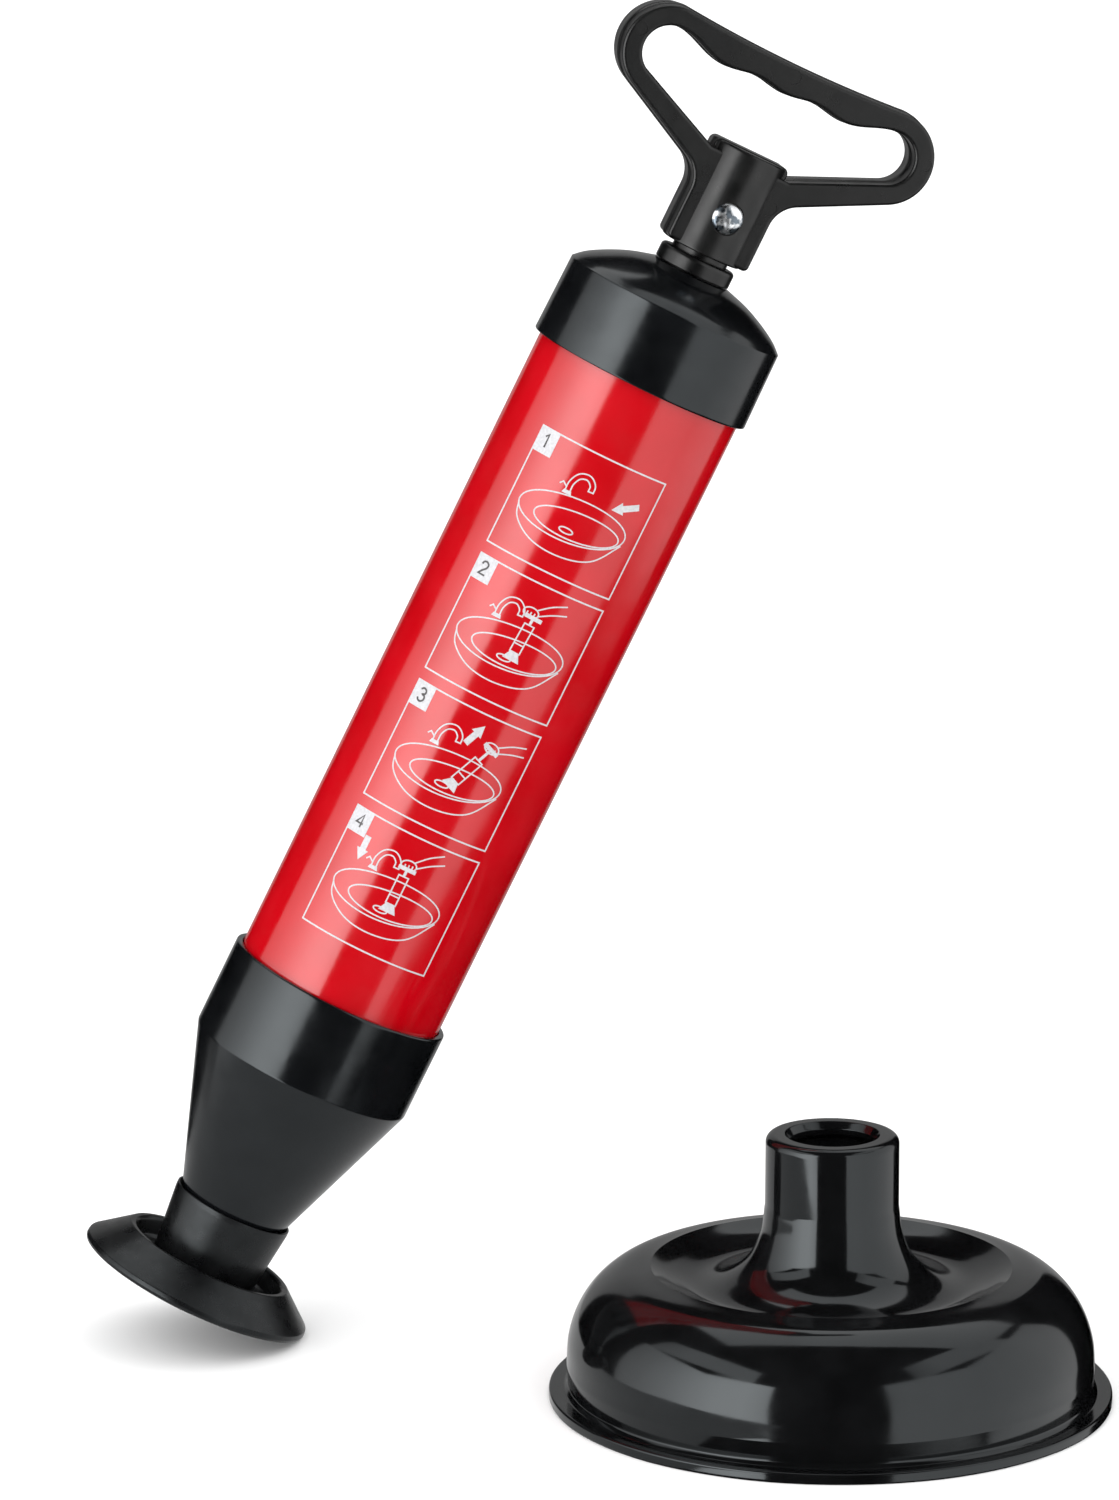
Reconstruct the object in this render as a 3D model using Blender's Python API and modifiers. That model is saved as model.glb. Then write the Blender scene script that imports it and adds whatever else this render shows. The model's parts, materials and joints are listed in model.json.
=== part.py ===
"""A hand-pump drain plunger and its second, larger cup.

The pump is a plastic barrel with a piston inside it. Pulling the D-shaped handle draws the piston up,
and pushing it drives air or water out through the nose and the rubber cup on its tip. The pump leans
on the lip of its small cup, and the loose bell cup, which fits the nose in its place, stands upright.

All the numbers below are in millimetres. Heights on the pump are measured along its axis from the
plane of the small cup's lip, and heights on the bell cup from the face that it stands on.
"""

import math

import bmesh
import bpy
from mathutils import Euler, Matrix, Vector

MM = 0.001
GAP = 0.3  # left between pieces that touch
TURN_GAP = 0.12  # round a shaft that turns or slides in a bore

# How the pieces are set out
LEAN_SIDE = 26.0  # degrees, the pump leans to +X
LEAN_BACK = 3.0  # degrees, and a little to +Y
HANDLE_TURN = 8.8  # degrees about the pump's axis
PUMP_FROM_BELL = (-185.0, 58.0)  # lip centre of the pump, seen from the bell cup's axis

# Barrel and its two ends
BARREL_R = 31.5
BARREL_WALL = 2.0
BARREL_BORE = BARREL_R - BARREL_WALL
BARREL_BOTTOM = 79.1
BARREL_TOP = 313.2
SOCKET_R = BARREL_R + GAP  # inside of the collars that take the barrel's ends
COLLAR_R = 33.5
SEAT_R = 29.2  # inside of the gaskets
NOSE_TOP = 99.8
NOSE_CORNER = 73.2  # the straight collar ends and the cone begins
NOSE_SEAT = 76.5
CONE_END = (15.8, 24.5)
SPIGOT_R = 13.2
SPIGOT_TIP = 6.3
OUTLET_R = 11.0
CAP_BOTTOM = 298.2
CAP_SEAT = 315.7
CAP_SHOULDER = 321.7
CAP_CEILING = 328.6

# Rod, its guide, and the piston
ROD_R = 8.56
ROD_BORE = 6.5
ROD_BOTTOM = 97.9
ROD_TOP = 366.0
GUIDE_R = 10.0
GUIDE_HEAD_R = 11.5
GUIDE_HEAD = 332.3
GUIDE_TOP = 337.1
GUIDE_BOTTOM = 320.2
GROOVE_R = 10.5
GROOVE = (333.5, 335.7)
LOCK_NUT = (322.7, CAP_CEILING - GAP)
PISTON_R = 28.9
PISTON_BOTTOM = NOSE_SEAT + GAP
HEAD_WEB = (84.5, 88.0)
SEAL_BASE = (HEAD_WEB[1] + GAP, 91.3)
BACK_PLATE = (SEAL_BASE[1] + GAP, 97.6)
BUFFER_TOP = 104.9
SPINDLE_R = 6.0  # the rod's end, which turns in the piston
THREAD_R = 3.0

# Handle, flat in its own XZ plane and spun about the pump's axis
HANDLE_DEPTH = 15.7
HUB_R = 11.8
HUB_BOTTOM = 339.1
HUB_TOP = 370.8
WEB_HALF = 12.9
LOOP_HALF = 49.2
LOOP_END_R = 13.6
LOOP_WALL = 5.8
LOOP_Z = 386.2
GRIP_TOP = 398.3
GRIP_UNDER = 390.4
FINGER_PITCH = 19.0
FINGER_DEPTH = 0.6
ARM_SLOPE_OUT = 26.5  # degrees
ARM_SLOPE_IN = 23.9
ARM_FILLET = 9.0
FORK_Z = 367.6
SOCKET_TOP = ROD_TOP + GAP
RIVET_Z = 351.0
RIVET_R = 2.2
SPOT_FACE = 11.1  # from the axis to the flats under the rivet's heads

# Small cup
LIP_R = 35.4
SMALL_BORE = SPIGOT_R + GAP

# Bell cup
BELL_R = 80.6
BELL_EDGE = 3.0
BELL_NECK_R = 19.0
BELL_TOP = 77.6
BELL_MOUTH_R = 12.2

# Facets round a turned piece
OUTER_STEPS = 36
GUIDE_STEPS = 28
INNER_STEPS = 24

# Colour, roughness and metallic value of each finish
RED = ((0.78, 0.01, 0.03), 0.18, 0.0)
BLACK_GLOSS = ((0.012, 0.012, 0.013), 0.16, 0.0)
BLACK_SATIN = ((0.018, 0.018, 0.018), 0.38, 0.0)
RUBBER = ((0.015, 0.015, 0.016), 0.45, 0.0)
RUBBER_GLOSS = ((0.010, 0.010, 0.011), 0.10, 0.0)
NYLON = ((0.75, 0.74, 0.70), 0.40, 0.0)
ZINC = ((0.72, 0.74, 0.76), 0.25, 1.0)


def clear_scene():
    for old in list(bpy.context.scene.objects):
        bpy.data.objects.remove(old, do_unlink=True)


def new_collection(name):
    collection = bpy.data.collections.new(name)
    bpy.context.scene.collection.children.link(collection)
    return collection


def principled(name, color, roughness, metallic=0.0):
    material = bpy.data.materials.new(name)
    material.use_nodes = True
    shader = material.node_tree.nodes["Principled BSDF"]
    shader.inputs["Base Color"].default_value = (*color, 1.0)
    shader.inputs["Roughness"].default_value = roughness
    shader.inputs["Metallic"].default_value = metallic
    material.diffuse_color = (*color, 1.0)
    return material


def new_empty(name, parent=None, rotation=None):
    empty = bpy.data.objects.new(name, None)
    parts.objects.link(empty)
    empty.parent = parent
    if rotation:
        empty.rotation_euler = rotation
    return empty


def new_object(name, mesh, parent, look, collection=None):
    obj = bpy.data.objects.new(name, mesh)
    (collection or parts).objects.link(obj)
    obj.parent = parent
    if look:
        color, roughness, metallic = look
        mesh.materials.append(principled(name, color, roughness, metallic))
    return obj


def as_mesh(source):
    """The evaluated mesh of an object, which is then removed."""
    bpy.context.view_layer.update()
    evaluated = source.evaluated_get(bpy.context.evaluated_depsgraph_get())
    mesh = bpy.data.meshes.new_from_object(evaluated)
    bpy.data.objects.remove(source, do_unlink=True)
    welded = bmesh.new()
    welded.from_mesh(mesh)
    bmesh.ops.remove_doubles(welded, verts=welded.verts, dist=0.001 * MM)
    welded.to_mesh(mesh)
    welded.free()
    return mesh


def smooth(mesh, angle=32.0):
    mesh.shade_smooth()
    mesh.set_sharp_from_angle(angle=math.radians(angle))


def turned(name, profile, look, parent, steps=OUTER_STEPS, collection=None):
    """A solid turned about Z. The profile, (radius, height) in mm, runs down the outer side.

    It is a closed loop, or starts and ends on the axis.
    """
    on_axis = profile[0][0] == 0
    mesh = bpy.data.meshes.new(name)
    points = [(r * MM, 0.0, z * MM) for r, z in profile]
    edges = [(i, i + 1) for i in range(len(points) - 1)]
    if not on_axis:
        edges.append((len(points) - 1, 0))
    mesh.from_pydata(points, edges, [])
    blank = bpy.data.objects.new(name + "_profile", mesh)
    parts.objects.link(blank)
    screw = blank.modifiers.new("turn", "SCREW")
    screw.steps = steps
    screw.render_steps = steps
    screw.use_merge_vertices = True
    screw.merge_threshold = 0.01 * MM
    solid = as_mesh(blank)
    solid.name = name
    smooth(solid)
    return new_object(name, solid, parent, look, collection)


def arc(center, radius, start, end, count):
    """Points on an arc in degrees, both ends included."""
    points = []
    for i in range(count + 1):
        angle = math.radians(start + (end - start) * i / count)
        points.append((center[0] + radius * math.cos(angle), center[1] + radius * math.sin(angle)))
    return points


def spline(points, per_span):
    """A smooth curve through the points (centripetal Catmull-Rom), both ends included."""
    first = [2 * a - b for a, b in zip(points[0], points[1])]
    last = [2 * a - b for a, b in zip(points[-1], points[-2])]
    knots = [Vector(p) for p in [first, *points, last]]
    curve = []
    for i in range(1, len(knots) - 2):
        p0, p1, p2, p3 = knots[i - 1 : i + 3]
        t1 = (p1 - p0).length ** 0.5
        t2 = t1 + (p2 - p1).length ** 0.5
        t3 = t2 + (p3 - p2).length ** 0.5
        for j in range(per_span):
            t = t1 + (t2 - t1) * j / per_span
            a1 = p0.lerp(p1, t / t1)
            a2 = p1.lerp(p2, (t - t1) / (t2 - t1))
            a3 = p2.lerp(p3, (t - t2) / (t3 - t2))
            b1 = a1.lerp(a2, t / t2)
            b2 = a2.lerp(a3, (t - t1) / (t3 - t1))
            curve.append(tuple(b1.lerp(b2, (t - t1) / (t2 - t1))))
    curve.append(tuple(points[-1]))
    return curve


def ring(name, inner, outer, low, high, look, parent, steps=INNER_STEPS):
    profile = [(inner, high), (outer, high), (outer, low), (inner, low)]
    return turned(name, profile, look, parent, steps)


def as_cutter(cutter):
    cutter.hide_render = True
    cutter.display_type = "WIRE"
    return cutter


def cylinder_cutter(name, radius, low, high, parent):
    profile = [(0, high), (radius, high), (radius, low), (0, low)]
    return as_cutter(turned(name, profile, None, parent, INNER_STEPS, cutters))


def lay_across(piece):
    """Turns a piece's own Z axis to the front of the handle, at the rivet's height."""
    piece.location.z = RIVET_Z * MM
    piece.rotation_euler.x = math.radians(90)
    return piece


def boolean(target, tool, operation="DIFFERENCE"):
    modifier = target.modifiers.new(tool.name, "BOOLEAN")
    modifier.operation = operation
    modifier.solver = "EXACT"
    modifier.object = tool


# ---------------------------------------------------------------- barrel and its ends


def make_barrel(parent):
    ring("barrel_tube", BARREL_BORE, BARREL_R, BARREL_BOTTOM, BARREL_TOP, RED, parent, OUTER_STEPS)
    low, high = NOSE_SEAT + GAP, BARREL_BOTTOM - GAP
    ring("nose_gasket", SEAT_R, BARREL_R, low, high, RUBBER, parent, OUTER_STEPS)
    low, high = BARREL_TOP + GAP, CAP_SEAT - GAP
    ring("cap_gasket", SEAT_R, BARREL_R, low, high, RUBBER, parent, OUTER_STEPS)


def make_nose(parent):
    wall_r = 28.0  # inside, under the ledge that the barrel's gasket sits on
    cone_top = 64.7
    profile = [
        (SOCKET_R, NOSE_TOP),
        (COLLAR_R - 0.4, NOSE_TOP),
        (COLLAR_R, NOSE_TOP - 0.4),
        (COLLAR_R, NOSE_CORNER),
        CONE_END,
        (SPIGOT_R, CONE_END[1] - GAP),
        (SPIGOT_R, SPIGOT_TIP + 1.0),
        (SPIGOT_R - 0.8, SPIGOT_TIP),
        (OUTLET_R, SPIGOT_TIP),
        (OUTLET_R, CONE_END[1] - 0.5),
        (wall_r, cone_top),
        (wall_r, NOSE_SEAT),
        (SOCKET_R, NOSE_SEAT),
    ]
    turned("nose_cone", profile, BLACK_GLOSS, parent)


def make_cap(parent):
    low = CAP_SHOULDER
    dome = spline([(32.9, low), (30.3, low + 2.3), (25.6, low + 5.1), (19.2, low + 8.0), (11.6, low + 10.3)], 2)
    profile = [
        (GUIDE_R + GAP, CAP_CEILING),
        (GUIDE_R + GAP, low + 10.3),
        *reversed(dome),
        (COLLAR_R, CAP_BOTTOM),
        (SOCKET_R, CAP_BOTTOM),
        (SOCKET_R, CAP_SEAT),
        (29.0, CAP_SEAT),
        (29.0, low - 1.1),
        (24.5, low + 2.9),
        (16.5, CAP_CEILING),
    ]
    turned("top_cap", profile, BLACK_GLOSS, parent)


def make_guide(parent):
    bore = ROD_R + TURN_GAP
    round_edge = arc((GUIDE_HEAD_R - 1.2, GUIDE_TOP - 1.2), 1.2, 90, 0, 3)
    profile = [
        (bore, GUIDE_TOP),
        *round_edge,
        (GUIDE_HEAD_R, GUIDE_HEAD),
        (GUIDE_R, GUIDE_HEAD),
        (GUIDE_R, GUIDE_BOTTOM),
        (bore, GUIDE_BOTTOM),
        (bore, GROOVE[0]),
        (GROOVE_R, GROOVE[0]),
        (GROOVE_R, GROOVE[1]),
        (bore, GROOVE[1]),
    ]
    turned("rod_guide_bush", profile, BLACK_SATIN, parent, GUIDE_STEPS)
    middle = ((GROOVE_R + ROD_R) / 2, sum(GROOVE) / 2)
    section = arc(middle, 0.8, 180, -180, 6)[:-1]
    turned("rod_o_ring", section, RUBBER, parent, INNER_STEPS)
    nut = bpy.data.meshes.new("guide_lock_nut")
    shape = bmesh.new()
    height = LOCK_NUT[1] - LOCK_NUT[0]
    bmesh.ops.create_cone(
        shape, cap_ends=True, segments=6, radius1=15.6 * MM, radius2=15.6 * MM, depth=height * MM
    )
    bmesh.ops.translate(shape, verts=shape.verts, vec=(0, 0, sum(LOCK_NUT) / 2 * MM))
    shape.to_mesh(nut)
    shape.free()
    lock_nut = new_object("guide_lock_nut", nut, parent, BLACK_SATIN)
    hole = cylinder_cutter("lock_nut_bore", GUIDE_R + GAP, LOCK_NUT[0] - 1, LOCK_NUT[1] + 1, parent)
    boolean(lock_nut, hole)


# ---------------------------------------------------------------- piston and rod


def make_piston(parent):
    bore = SPINDLE_R + TURN_GAP + 0.03
    neck_r = 26.4  # the head is narrower where the seal's lip hangs round it
    flange_top = 80.4
    head = [
        (bore, HEAD_WEB[1]),
        (neck_r, HEAD_WEB[1]),
        (neck_r, flange_top),
        (PISTON_R, flange_top),
        (PISTON_R, PISTON_BOTTOM + 1.0),
        (PISTON_R - 1.0, PISTON_BOTTOM),
        (24.0, PISTON_BOTTOM),
        (24.0, HEAD_WEB[0]),
        (bore, HEAD_WEB[0]),
    ]
    turned("piston_head", head, NYLON, parent, INNER_STEPS)
    lip_r = BARREL_BORE - 0.2
    seal = [
        (bore + 0.3, SEAL_BASE[1]),
        (lip_r - 0.8, SEAL_BASE[1]),
        (lip_r - 0.3, SEAL_BASE[1] - 0.7),
        (lip_r, 84.0),
        (lip_r, 81.3),
        (lip_r - 0.6, flange_top + 0.5),
        (27.6, flange_top + 0.6),
        (neck_r + 0.35, 84.0),
        (neck_r + 0.35, SEAL_BASE[0]),
        (bore + 0.3, SEAL_BASE[0]),
    ]
    turned("piston_seal", seal, RUBBER, parent, GUIDE_STEPS)
    groove = (14.6, 24.5, 94.1)
    plate = [
        (bore, BACK_PLATE[1]),
        (groove[0], BACK_PLATE[1]),
        (groove[0], groove[2]),
        (groove[1], groove[2]),
        (groove[1], BACK_PLATE[1]),
        (PISTON_R - 0.6, BACK_PLATE[1]),
        (PISTON_R, BACK_PLATE[1] - 0.6),
        (PISTON_R, BACK_PLATE[0]),
        (bore, BACK_PLATE[0]),
    ]
    turned("piston_back_plate", plate, NYLON, parent, INNER_STEPS)
    low = BACK_PLATE[1] + GAP
    buffer_profile = [
        (ROD_R + 0.34, BUFFER_TOP),
        (12.8, BUFFER_TOP),
        (13.8, BUFFER_TOP - 1.0),
        (13.8, low),
        (ROD_R + 0.34, low),
    ]
    turned("stop_buffer", buffer_profile, RUBBER, parent, INNER_STEPS)


def make_rod(parent, rivet_hole):
    rod = ring("piston_rod", ROD_BORE, ROD_R, ROD_BOTTOM, ROD_TOP, BLACK_SATIN, parent, OUTER_STEPS)
    boolean(rod, rivet_hole)
    thread_bore = THREAD_R + GAP
    plug_r = ROD_BORE - GAP
    spindle_low = HEAD_WEB[0]
    plug = [
        (0, 118.0),
        (plug_r - 0.6, 118.0),
        (plug_r, 117.4),
        (plug_r, ROD_BOTTOM),
        (SPINDLE_R, ROD_BOTTOM),
        (SPINDLE_R, spindle_low),
        (thread_bore, spindle_low),
        (thread_bore, 98.5),
        (0, 98.5),
    ]
    turned("rod_end_spindle", plug, ZINC, parent, INNER_STEPS)
    washer = (82.7, spindle_low - GAP)
    ring("piston_washer", thread_bore, 9.5, *washer, ZINC, parent)
    head_top = washer[0] - GAP
    screw = [
        (0, 97.0),
        (THREAD_R - 0.5, 97.0),
        (THREAD_R, 96.4),
        (THREAD_R, head_top),
        (5.6, head_top),
        (6.0, head_top - 0.5),
        (6.0, head_top - 2.6),
        (4.8, head_top - 3.6),
        (0, head_top - 3.6),
    ]
    turned("piston_screw", screw, ZINC, parent, 12)


# ---------------------------------------------------------------- handle


def right_outer_edge():
    """The right half of the handle's outline, from the hub's foot up to the top of the grip."""
    foot_r = 1.5
    slope = math.radians(ARM_SLOPE_OUT)
    end_x = LOOP_HALF - LOOP_END_R
    tangent = (end_x + LOOP_END_R * math.sin(slope), LOOP_Z - LOOP_END_R * math.cos(slope))
    fillet_x = WEB_HALF + ARM_FILLET
    leave_x = fillet_x - ARM_FILLET * math.sin(slope)
    leave_z = tangent[1] - (tangent[0] - leave_x) * math.tan(slope)
    fillet_z = leave_z - ARM_FILLET * math.cos(slope)
    edge = arc((WEB_HALF - foot_r, HUB_BOTTOM + foot_r), foot_r, -90, 0, 2)
    edge += arc((fillet_x, fillet_z), ARM_FILLET, 180, 90 + ARM_SLOPE_OUT, 4)
    edge += arc((end_x, LOOP_Z), LOOP_END_R, -90 + ARM_SLOPE_OUT, 90, 12)
    end_top = LOOP_Z + LOOP_END_R
    for i in range(1, 4):
        x = end_x * (1 - i / 4)
        edge.append((x, GRIP_TOP + (end_top - GRIP_TOP) * (x / end_x) ** 2))
    return edge


def grip_underside(x):
    """Height of the finger side of the grip: shallow waves, rising to the ends of the opening."""
    end_x = LOOP_HALF - LOOP_END_R
    end_top = LOOP_Z + LOOP_END_R - LOOP_WALL
    wave_end = FINGER_PITCH
    if abs(x) <= wave_end:
        return GRIP_UNDER - FINGER_DEPTH * math.cos(2 * math.pi * x / FINGER_PITCH)
    rise = (abs(x) - wave_end) / (end_x - wave_end)
    start = GRIP_UNDER - FINGER_DEPTH
    return start + (end_top - start) * (1 - math.cos(math.pi * rise)) / 2


def right_inner_edge():
    """The right half of the opening, from the middle of the fork up to the middle of the grip."""
    end_x = LOOP_HALF - LOOP_END_R
    inner_r = LOOP_END_R - LOOP_WALL
    slope = math.radians(ARM_SLOPE_IN)
    tangent = (end_x + inner_r * math.sin(slope), LOOP_Z - inner_r * math.cos(slope))
    fork_x = tangent[0] - (tangent[1] - FORK_Z) / math.tan(slope)
    edge = [(fork_x, FORK_Z)]
    edge += arc((end_x, LOOP_Z), inner_r, -90 + ARM_SLOPE_IN, 90, 9)
    count = 14
    edge += [(end_x * (1 - i / count), grip_underside(end_x * (1 - i / count))) for i in range(1, count)]
    return edge


def mirrored(edge, middle):
    """A whole outline from its right half, closed through a point at the middle of the grip."""
    return [*edge, middle, *[(-x, z) for x, z in reversed(edge)]]


def make_handle(parent, rivet_hole):
    curve = bpy.data.curves.new("handle_outline", "CURVE")
    curve.dimensions = "2D"
    curve.fill_mode = "BOTH"
    curve.extrude = HANDLE_DEPTH / 2 * MM
    outer = mirrored(right_outer_edge(), (0.0, GRIP_TOP))
    inner = mirrored(right_inner_edge(), (0.0, grip_underside(0.0)))
    for outline in (outer, inner):
        line = curve.splines.new("POLY")
        line.points.add(len(outline) - 1)
        for point, (x, z) in zip(line.points, outline):
            point.co = (x * MM, z * MM, 0.0, 1.0)
        line.use_cyclic_u = True
    flat = bpy.data.objects.new("handle_outline", curve)
    parts.objects.link(flat)
    mesh = as_mesh(flat)
    mesh.transform(Matrix.Rotation(math.radians(90), 4, "X"))
    mesh.name = "handle"
    smooth(mesh)
    handle = new_object("handle", mesh, parent, BLACK_SATIN)
    edge = handle.modifiers.new("edge", "BEVEL")
    edge.width = 0.7 * MM
    edge.segments = 1
    edge.limit_method = "ANGLE"
    edge.angle_limit = math.radians(60)
    hub_low = HUB_BOTTOM - 0.4
    hub = [(0, HUB_TOP), (HUB_R - 1.2, HUB_TOP), (HUB_R, HUB_TOP - 1.2), (HUB_R, hub_low), (0, hub_low)]
    boolean(handle, as_cutter(turned("hub_solid", hub, None, parent, OUTER_STEPS, cutters)), "UNION")
    boolean(handle, cylinder_cutter("rod_socket", ROD_R + GAP, HUB_BOTTOM - 5, SOCKET_TOP, parent))
    boolean(handle, rivet_hole)


def make_rivet_hole(parent):
    """A bore across the hub, with a flat spot face under each end of the rivet."""
    outside = 20.0
    face_r = 4.9
    bore = RIVET_R + GAP
    profile = [
        (0, outside),
        (face_r, outside),
        (face_r, SPOT_FACE),
        (bore, SPOT_FACE),
        (bore, -SPOT_FACE),
        (face_r, -SPOT_FACE),
        (face_r, -outside),
        (0, -outside),
    ]
    return lay_across(as_cutter(turned("rivet_hole", profile, None, parent, INNER_STEPS, cutters)))


def make_rivet(parent):
    head_low = SPOT_FACE + GAP
    washer = (-SPOT_FACE - GAP - 0.8, -SPOT_FACE - GAP)
    tail_high = washer[0] - GAP
    profile = [
        *spline([(0, head_low + 1.5), (2.6, head_low + 1.25), (4.1, head_low + 0.7), (4.5, head_low)], 2),
        (RIVET_R, head_low),
        (RIVET_R, tail_high),
        (3.4, tail_high),
        (3.1, tail_high - 0.9),
        (1.8, tail_high - 1.3),
        (0, tail_high - 1.3),
    ]
    lay_across(turned("handle_rivet", profile, ZINC, parent, INNER_STEPS))
    lay_across(ring("rivet_washer", RIVET_R + GAP, 4.4, *washer, ZINC, parent))


# ---------------------------------------------------------------- cups


def make_small_cup(parent):
    cone_slope = (COLLAR_R - CONE_END[0]) / (NOSE_CORNER - CONE_END[1])
    rim_z = 27.0
    rim_inner = CONE_END[0] + cone_slope * (rim_z - CONE_END[1]) + GAP
    profile = [
        (rim_inner, rim_z),
        (17.6, 26.4),
        (17.9, 25.4),
        (16.0, 7.0),
        (16.4, 4.9),
        (18.0, 4.0),
        (21.6, 4.1),
        (22.5, 5.0),
        (23.4, 9.5),
        (24.0, 10.3),
        (25.4, 10.4),
        (26.1, 9.8),
        (35.2, 2.3),
        (LIP_R, 1.1),
        (LIP_R - 0.3, 0.3),
        (LIP_R - 0.9, 0.0),
        (33.8, 0.3),
        (26.4, 6.4),
        (25.2, 6.9),
        (24.2, 6.2),
        (22.6, 2.5),
        (21.4, 1.9),
        (OUTLET_R, 1.9),
        (OUTLET_R, SPIGOT_TIP - GAP),
        (SMALL_BORE, SPIGOT_TIP - GAP),
        (SMALL_BORE, CONE_END[1] - 2 * GAP),
        (CONE_END[0] + GAP, CONE_END[1] - GAP / 2),
    ]
    turned("small_cup", profile, RUBBER, parent)


def make_bell_cup(parent):
    crest = (51.5, 38.8)
    neck = arc((BELL_NECK_R - 3.0, BELL_TOP - 3.0), 3.0, 90, 0, 2)
    flare = spline([(BELL_NECK_R, 57.0), (20.4, 48.0), (24.4, 40.2), (31.0, 35.4), (38.5, 33.9), (45.5, 35.9), crest], 1)
    dome = spline([crest, (60.2, 36.9), (67.3, 32.1), (72.1, 25.6), (74.8, 18.0), (75.5, 10.0)], 2)
    under = spline([(72.6, 10.0), (71.4, 18.2), (68.4, 24.4), (63.9, 30.1), (58.4, 33.8), (50.5, 35.8)], 1)
    dish = spline([(50.5, 35.8), (42.5, 31.9), (33.0, 30.4), (21.0, 30.4), (15.5, 32.6), (SMALL_BORE, 36.5)], 1)
    profile = [
        (BELL_MOUTH_R, BELL_TOP - 2.0),
        (BELL_MOUTH_R + 1.4, BELL_TOP),
        *neck,
        *flare,
        *dome[1:],
        (75.0, BELL_EDGE + 1.2),
        (76.2, BELL_EDGE),
        (BELL_R, BELL_EDGE),
        (BELL_R, 0.0),
        (72.4, 0.0),
        *under,
        *dish[1:],
        (SMALL_BORE, BELL_TOP - 5.0),
        (BELL_MOUTH_R, BELL_TOP - 3.6),
    ]
    turned("bell_cup", profile, RUBBER_GLOSS, parent)


# ---------------------------------------------------------------- setting out


def solids_under(empty):
    found = []
    for child in empty.children:
        found += solids_under(child)
        if child.type == "MESH" and not child.hide_render:
            found.append(child)
    return found


def world_box(solids):
    """Lowest and highest corner of the evaluated solids."""
    bpy.context.view_layer.update()
    depsgraph = bpy.context.evaluated_depsgraph_get()
    points = []
    for solid in solids:
        evaluated = solid.evaluated_get(depsgraph)
        points += [solid.matrix_world @ v.co for v in evaluated.data.vertices]
    low = Vector([min(p[i] for p in points) for i in range(3)])
    high = Vector([max(p[i] for p in points) for i in range(3)])
    return low, high


def stand_on_floor(empty):
    low, _ = world_box(solids_under(empty))
    empty.location.z -= low.z


def center_on_origin(whole):
    low, high = world_box(solids_under(whole))
    whole.location = (-(low.x + high.x) / 2, -(low.y + high.y) / 2, -low.z)


clear_scene()
parts = new_collection("drain_plunger")
cutters = new_collection("drain_plunger_cutters")

plunger_set = new_empty("plunger_set")
lean = Euler((math.radians(-LEAN_BACK), math.radians(LEAN_SIDE), 0.0), "XYZ")
pump_axis = new_empty("pump_axis", plunger_set, lean)
pump_axis.location = (PUMP_FROM_BELL[0] * MM, PUMP_FROM_BELL[1] * MM, 0.0)
rod_axis = new_empty("rod_axis", pump_axis, (0.0, 0.0, math.radians(HANDLE_TURN)))
bell_axis = new_empty("bell_axis", plunger_set)

make_barrel(pump_axis)
make_nose(pump_axis)
make_cap(pump_axis)
make_guide(pump_axis)
make_piston(pump_axis)
rivet_hole_cutter = make_rivet_hole(rod_axis)
make_rod(rod_axis, rivet_hole_cutter)
make_handle(rod_axis, rivet_hole_cutter)
make_rivet(rod_axis)
make_small_cup(pump_axis)
make_bell_cup(bell_axis)

stand_on_floor(pump_axis)
stand_on_floor(bell_axis)
center_on_origin(plunger_set)
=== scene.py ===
"""The looks of a hand-pump drain plunger and its loose bell cup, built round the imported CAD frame.

Every solid of the CAD model but the lock nut gets a fine mesh of the same size in the same place:
turned pieces with rounded corners, and the moulded handle. The printed panels are laid on the barrel.
Numbers are in millimetres. Heights on the pump are measured along its axis from the plane of the
small cup's lip, and heights on the bell cup from the face that it stands on.
"""

import json
import math

import bmesh
import bpy
from mathutils import Euler, Matrix, Vector, noise


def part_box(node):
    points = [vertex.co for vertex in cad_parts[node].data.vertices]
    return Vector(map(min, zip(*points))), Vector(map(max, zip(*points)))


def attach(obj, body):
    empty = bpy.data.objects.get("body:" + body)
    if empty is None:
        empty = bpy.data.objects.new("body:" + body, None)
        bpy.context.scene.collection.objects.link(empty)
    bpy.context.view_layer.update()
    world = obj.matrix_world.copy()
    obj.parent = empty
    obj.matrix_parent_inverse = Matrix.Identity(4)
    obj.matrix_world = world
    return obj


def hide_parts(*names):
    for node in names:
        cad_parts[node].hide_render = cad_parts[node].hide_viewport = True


MM = 0.001
GAP = 0.3  # between touching pieces
STEPS = 192  # facets round a large turned piece
SMALL_STEPS = 96
SHARP_ANGLE = math.radians(30)  # edges steeper than this stay crisp

# How the pump leans, and how its handle is turned
LEAN_SIDE = 26.0
LEAN_BACK = 3.0
HANDLE_TURN = 8.8
AXIS_POINT_HEIGHT = 300.0  # where the record's point on the pump's axis is

# Barrel, nose and cap
BARREL_R = 31.5
BARREL_BORE = 29.5
BARREL_BOTTOM = 79.1
BARREL_TOP = 313.2
SOCKET_R = BARREL_R + GAP
COLLAR_R = 33.5
SEAT_R = 29.2  # inside radius of the gaskets
NOSE_TOP = 99.8
NOSE_CORNER = 73.2
NOSE_SEAT = 76.5
CONE_END = (15.8, 24.5)  # radius and height
SPIGOT_R = 13.2
SPIGOT_TIP = 6.3
OUTLET_R = 11.0
CAP_BOTTOM = 298.2
CAP_SEAT = 315.7
CAP_SHOULDER = 321.7
CAP_CEILING = 328.6

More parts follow.
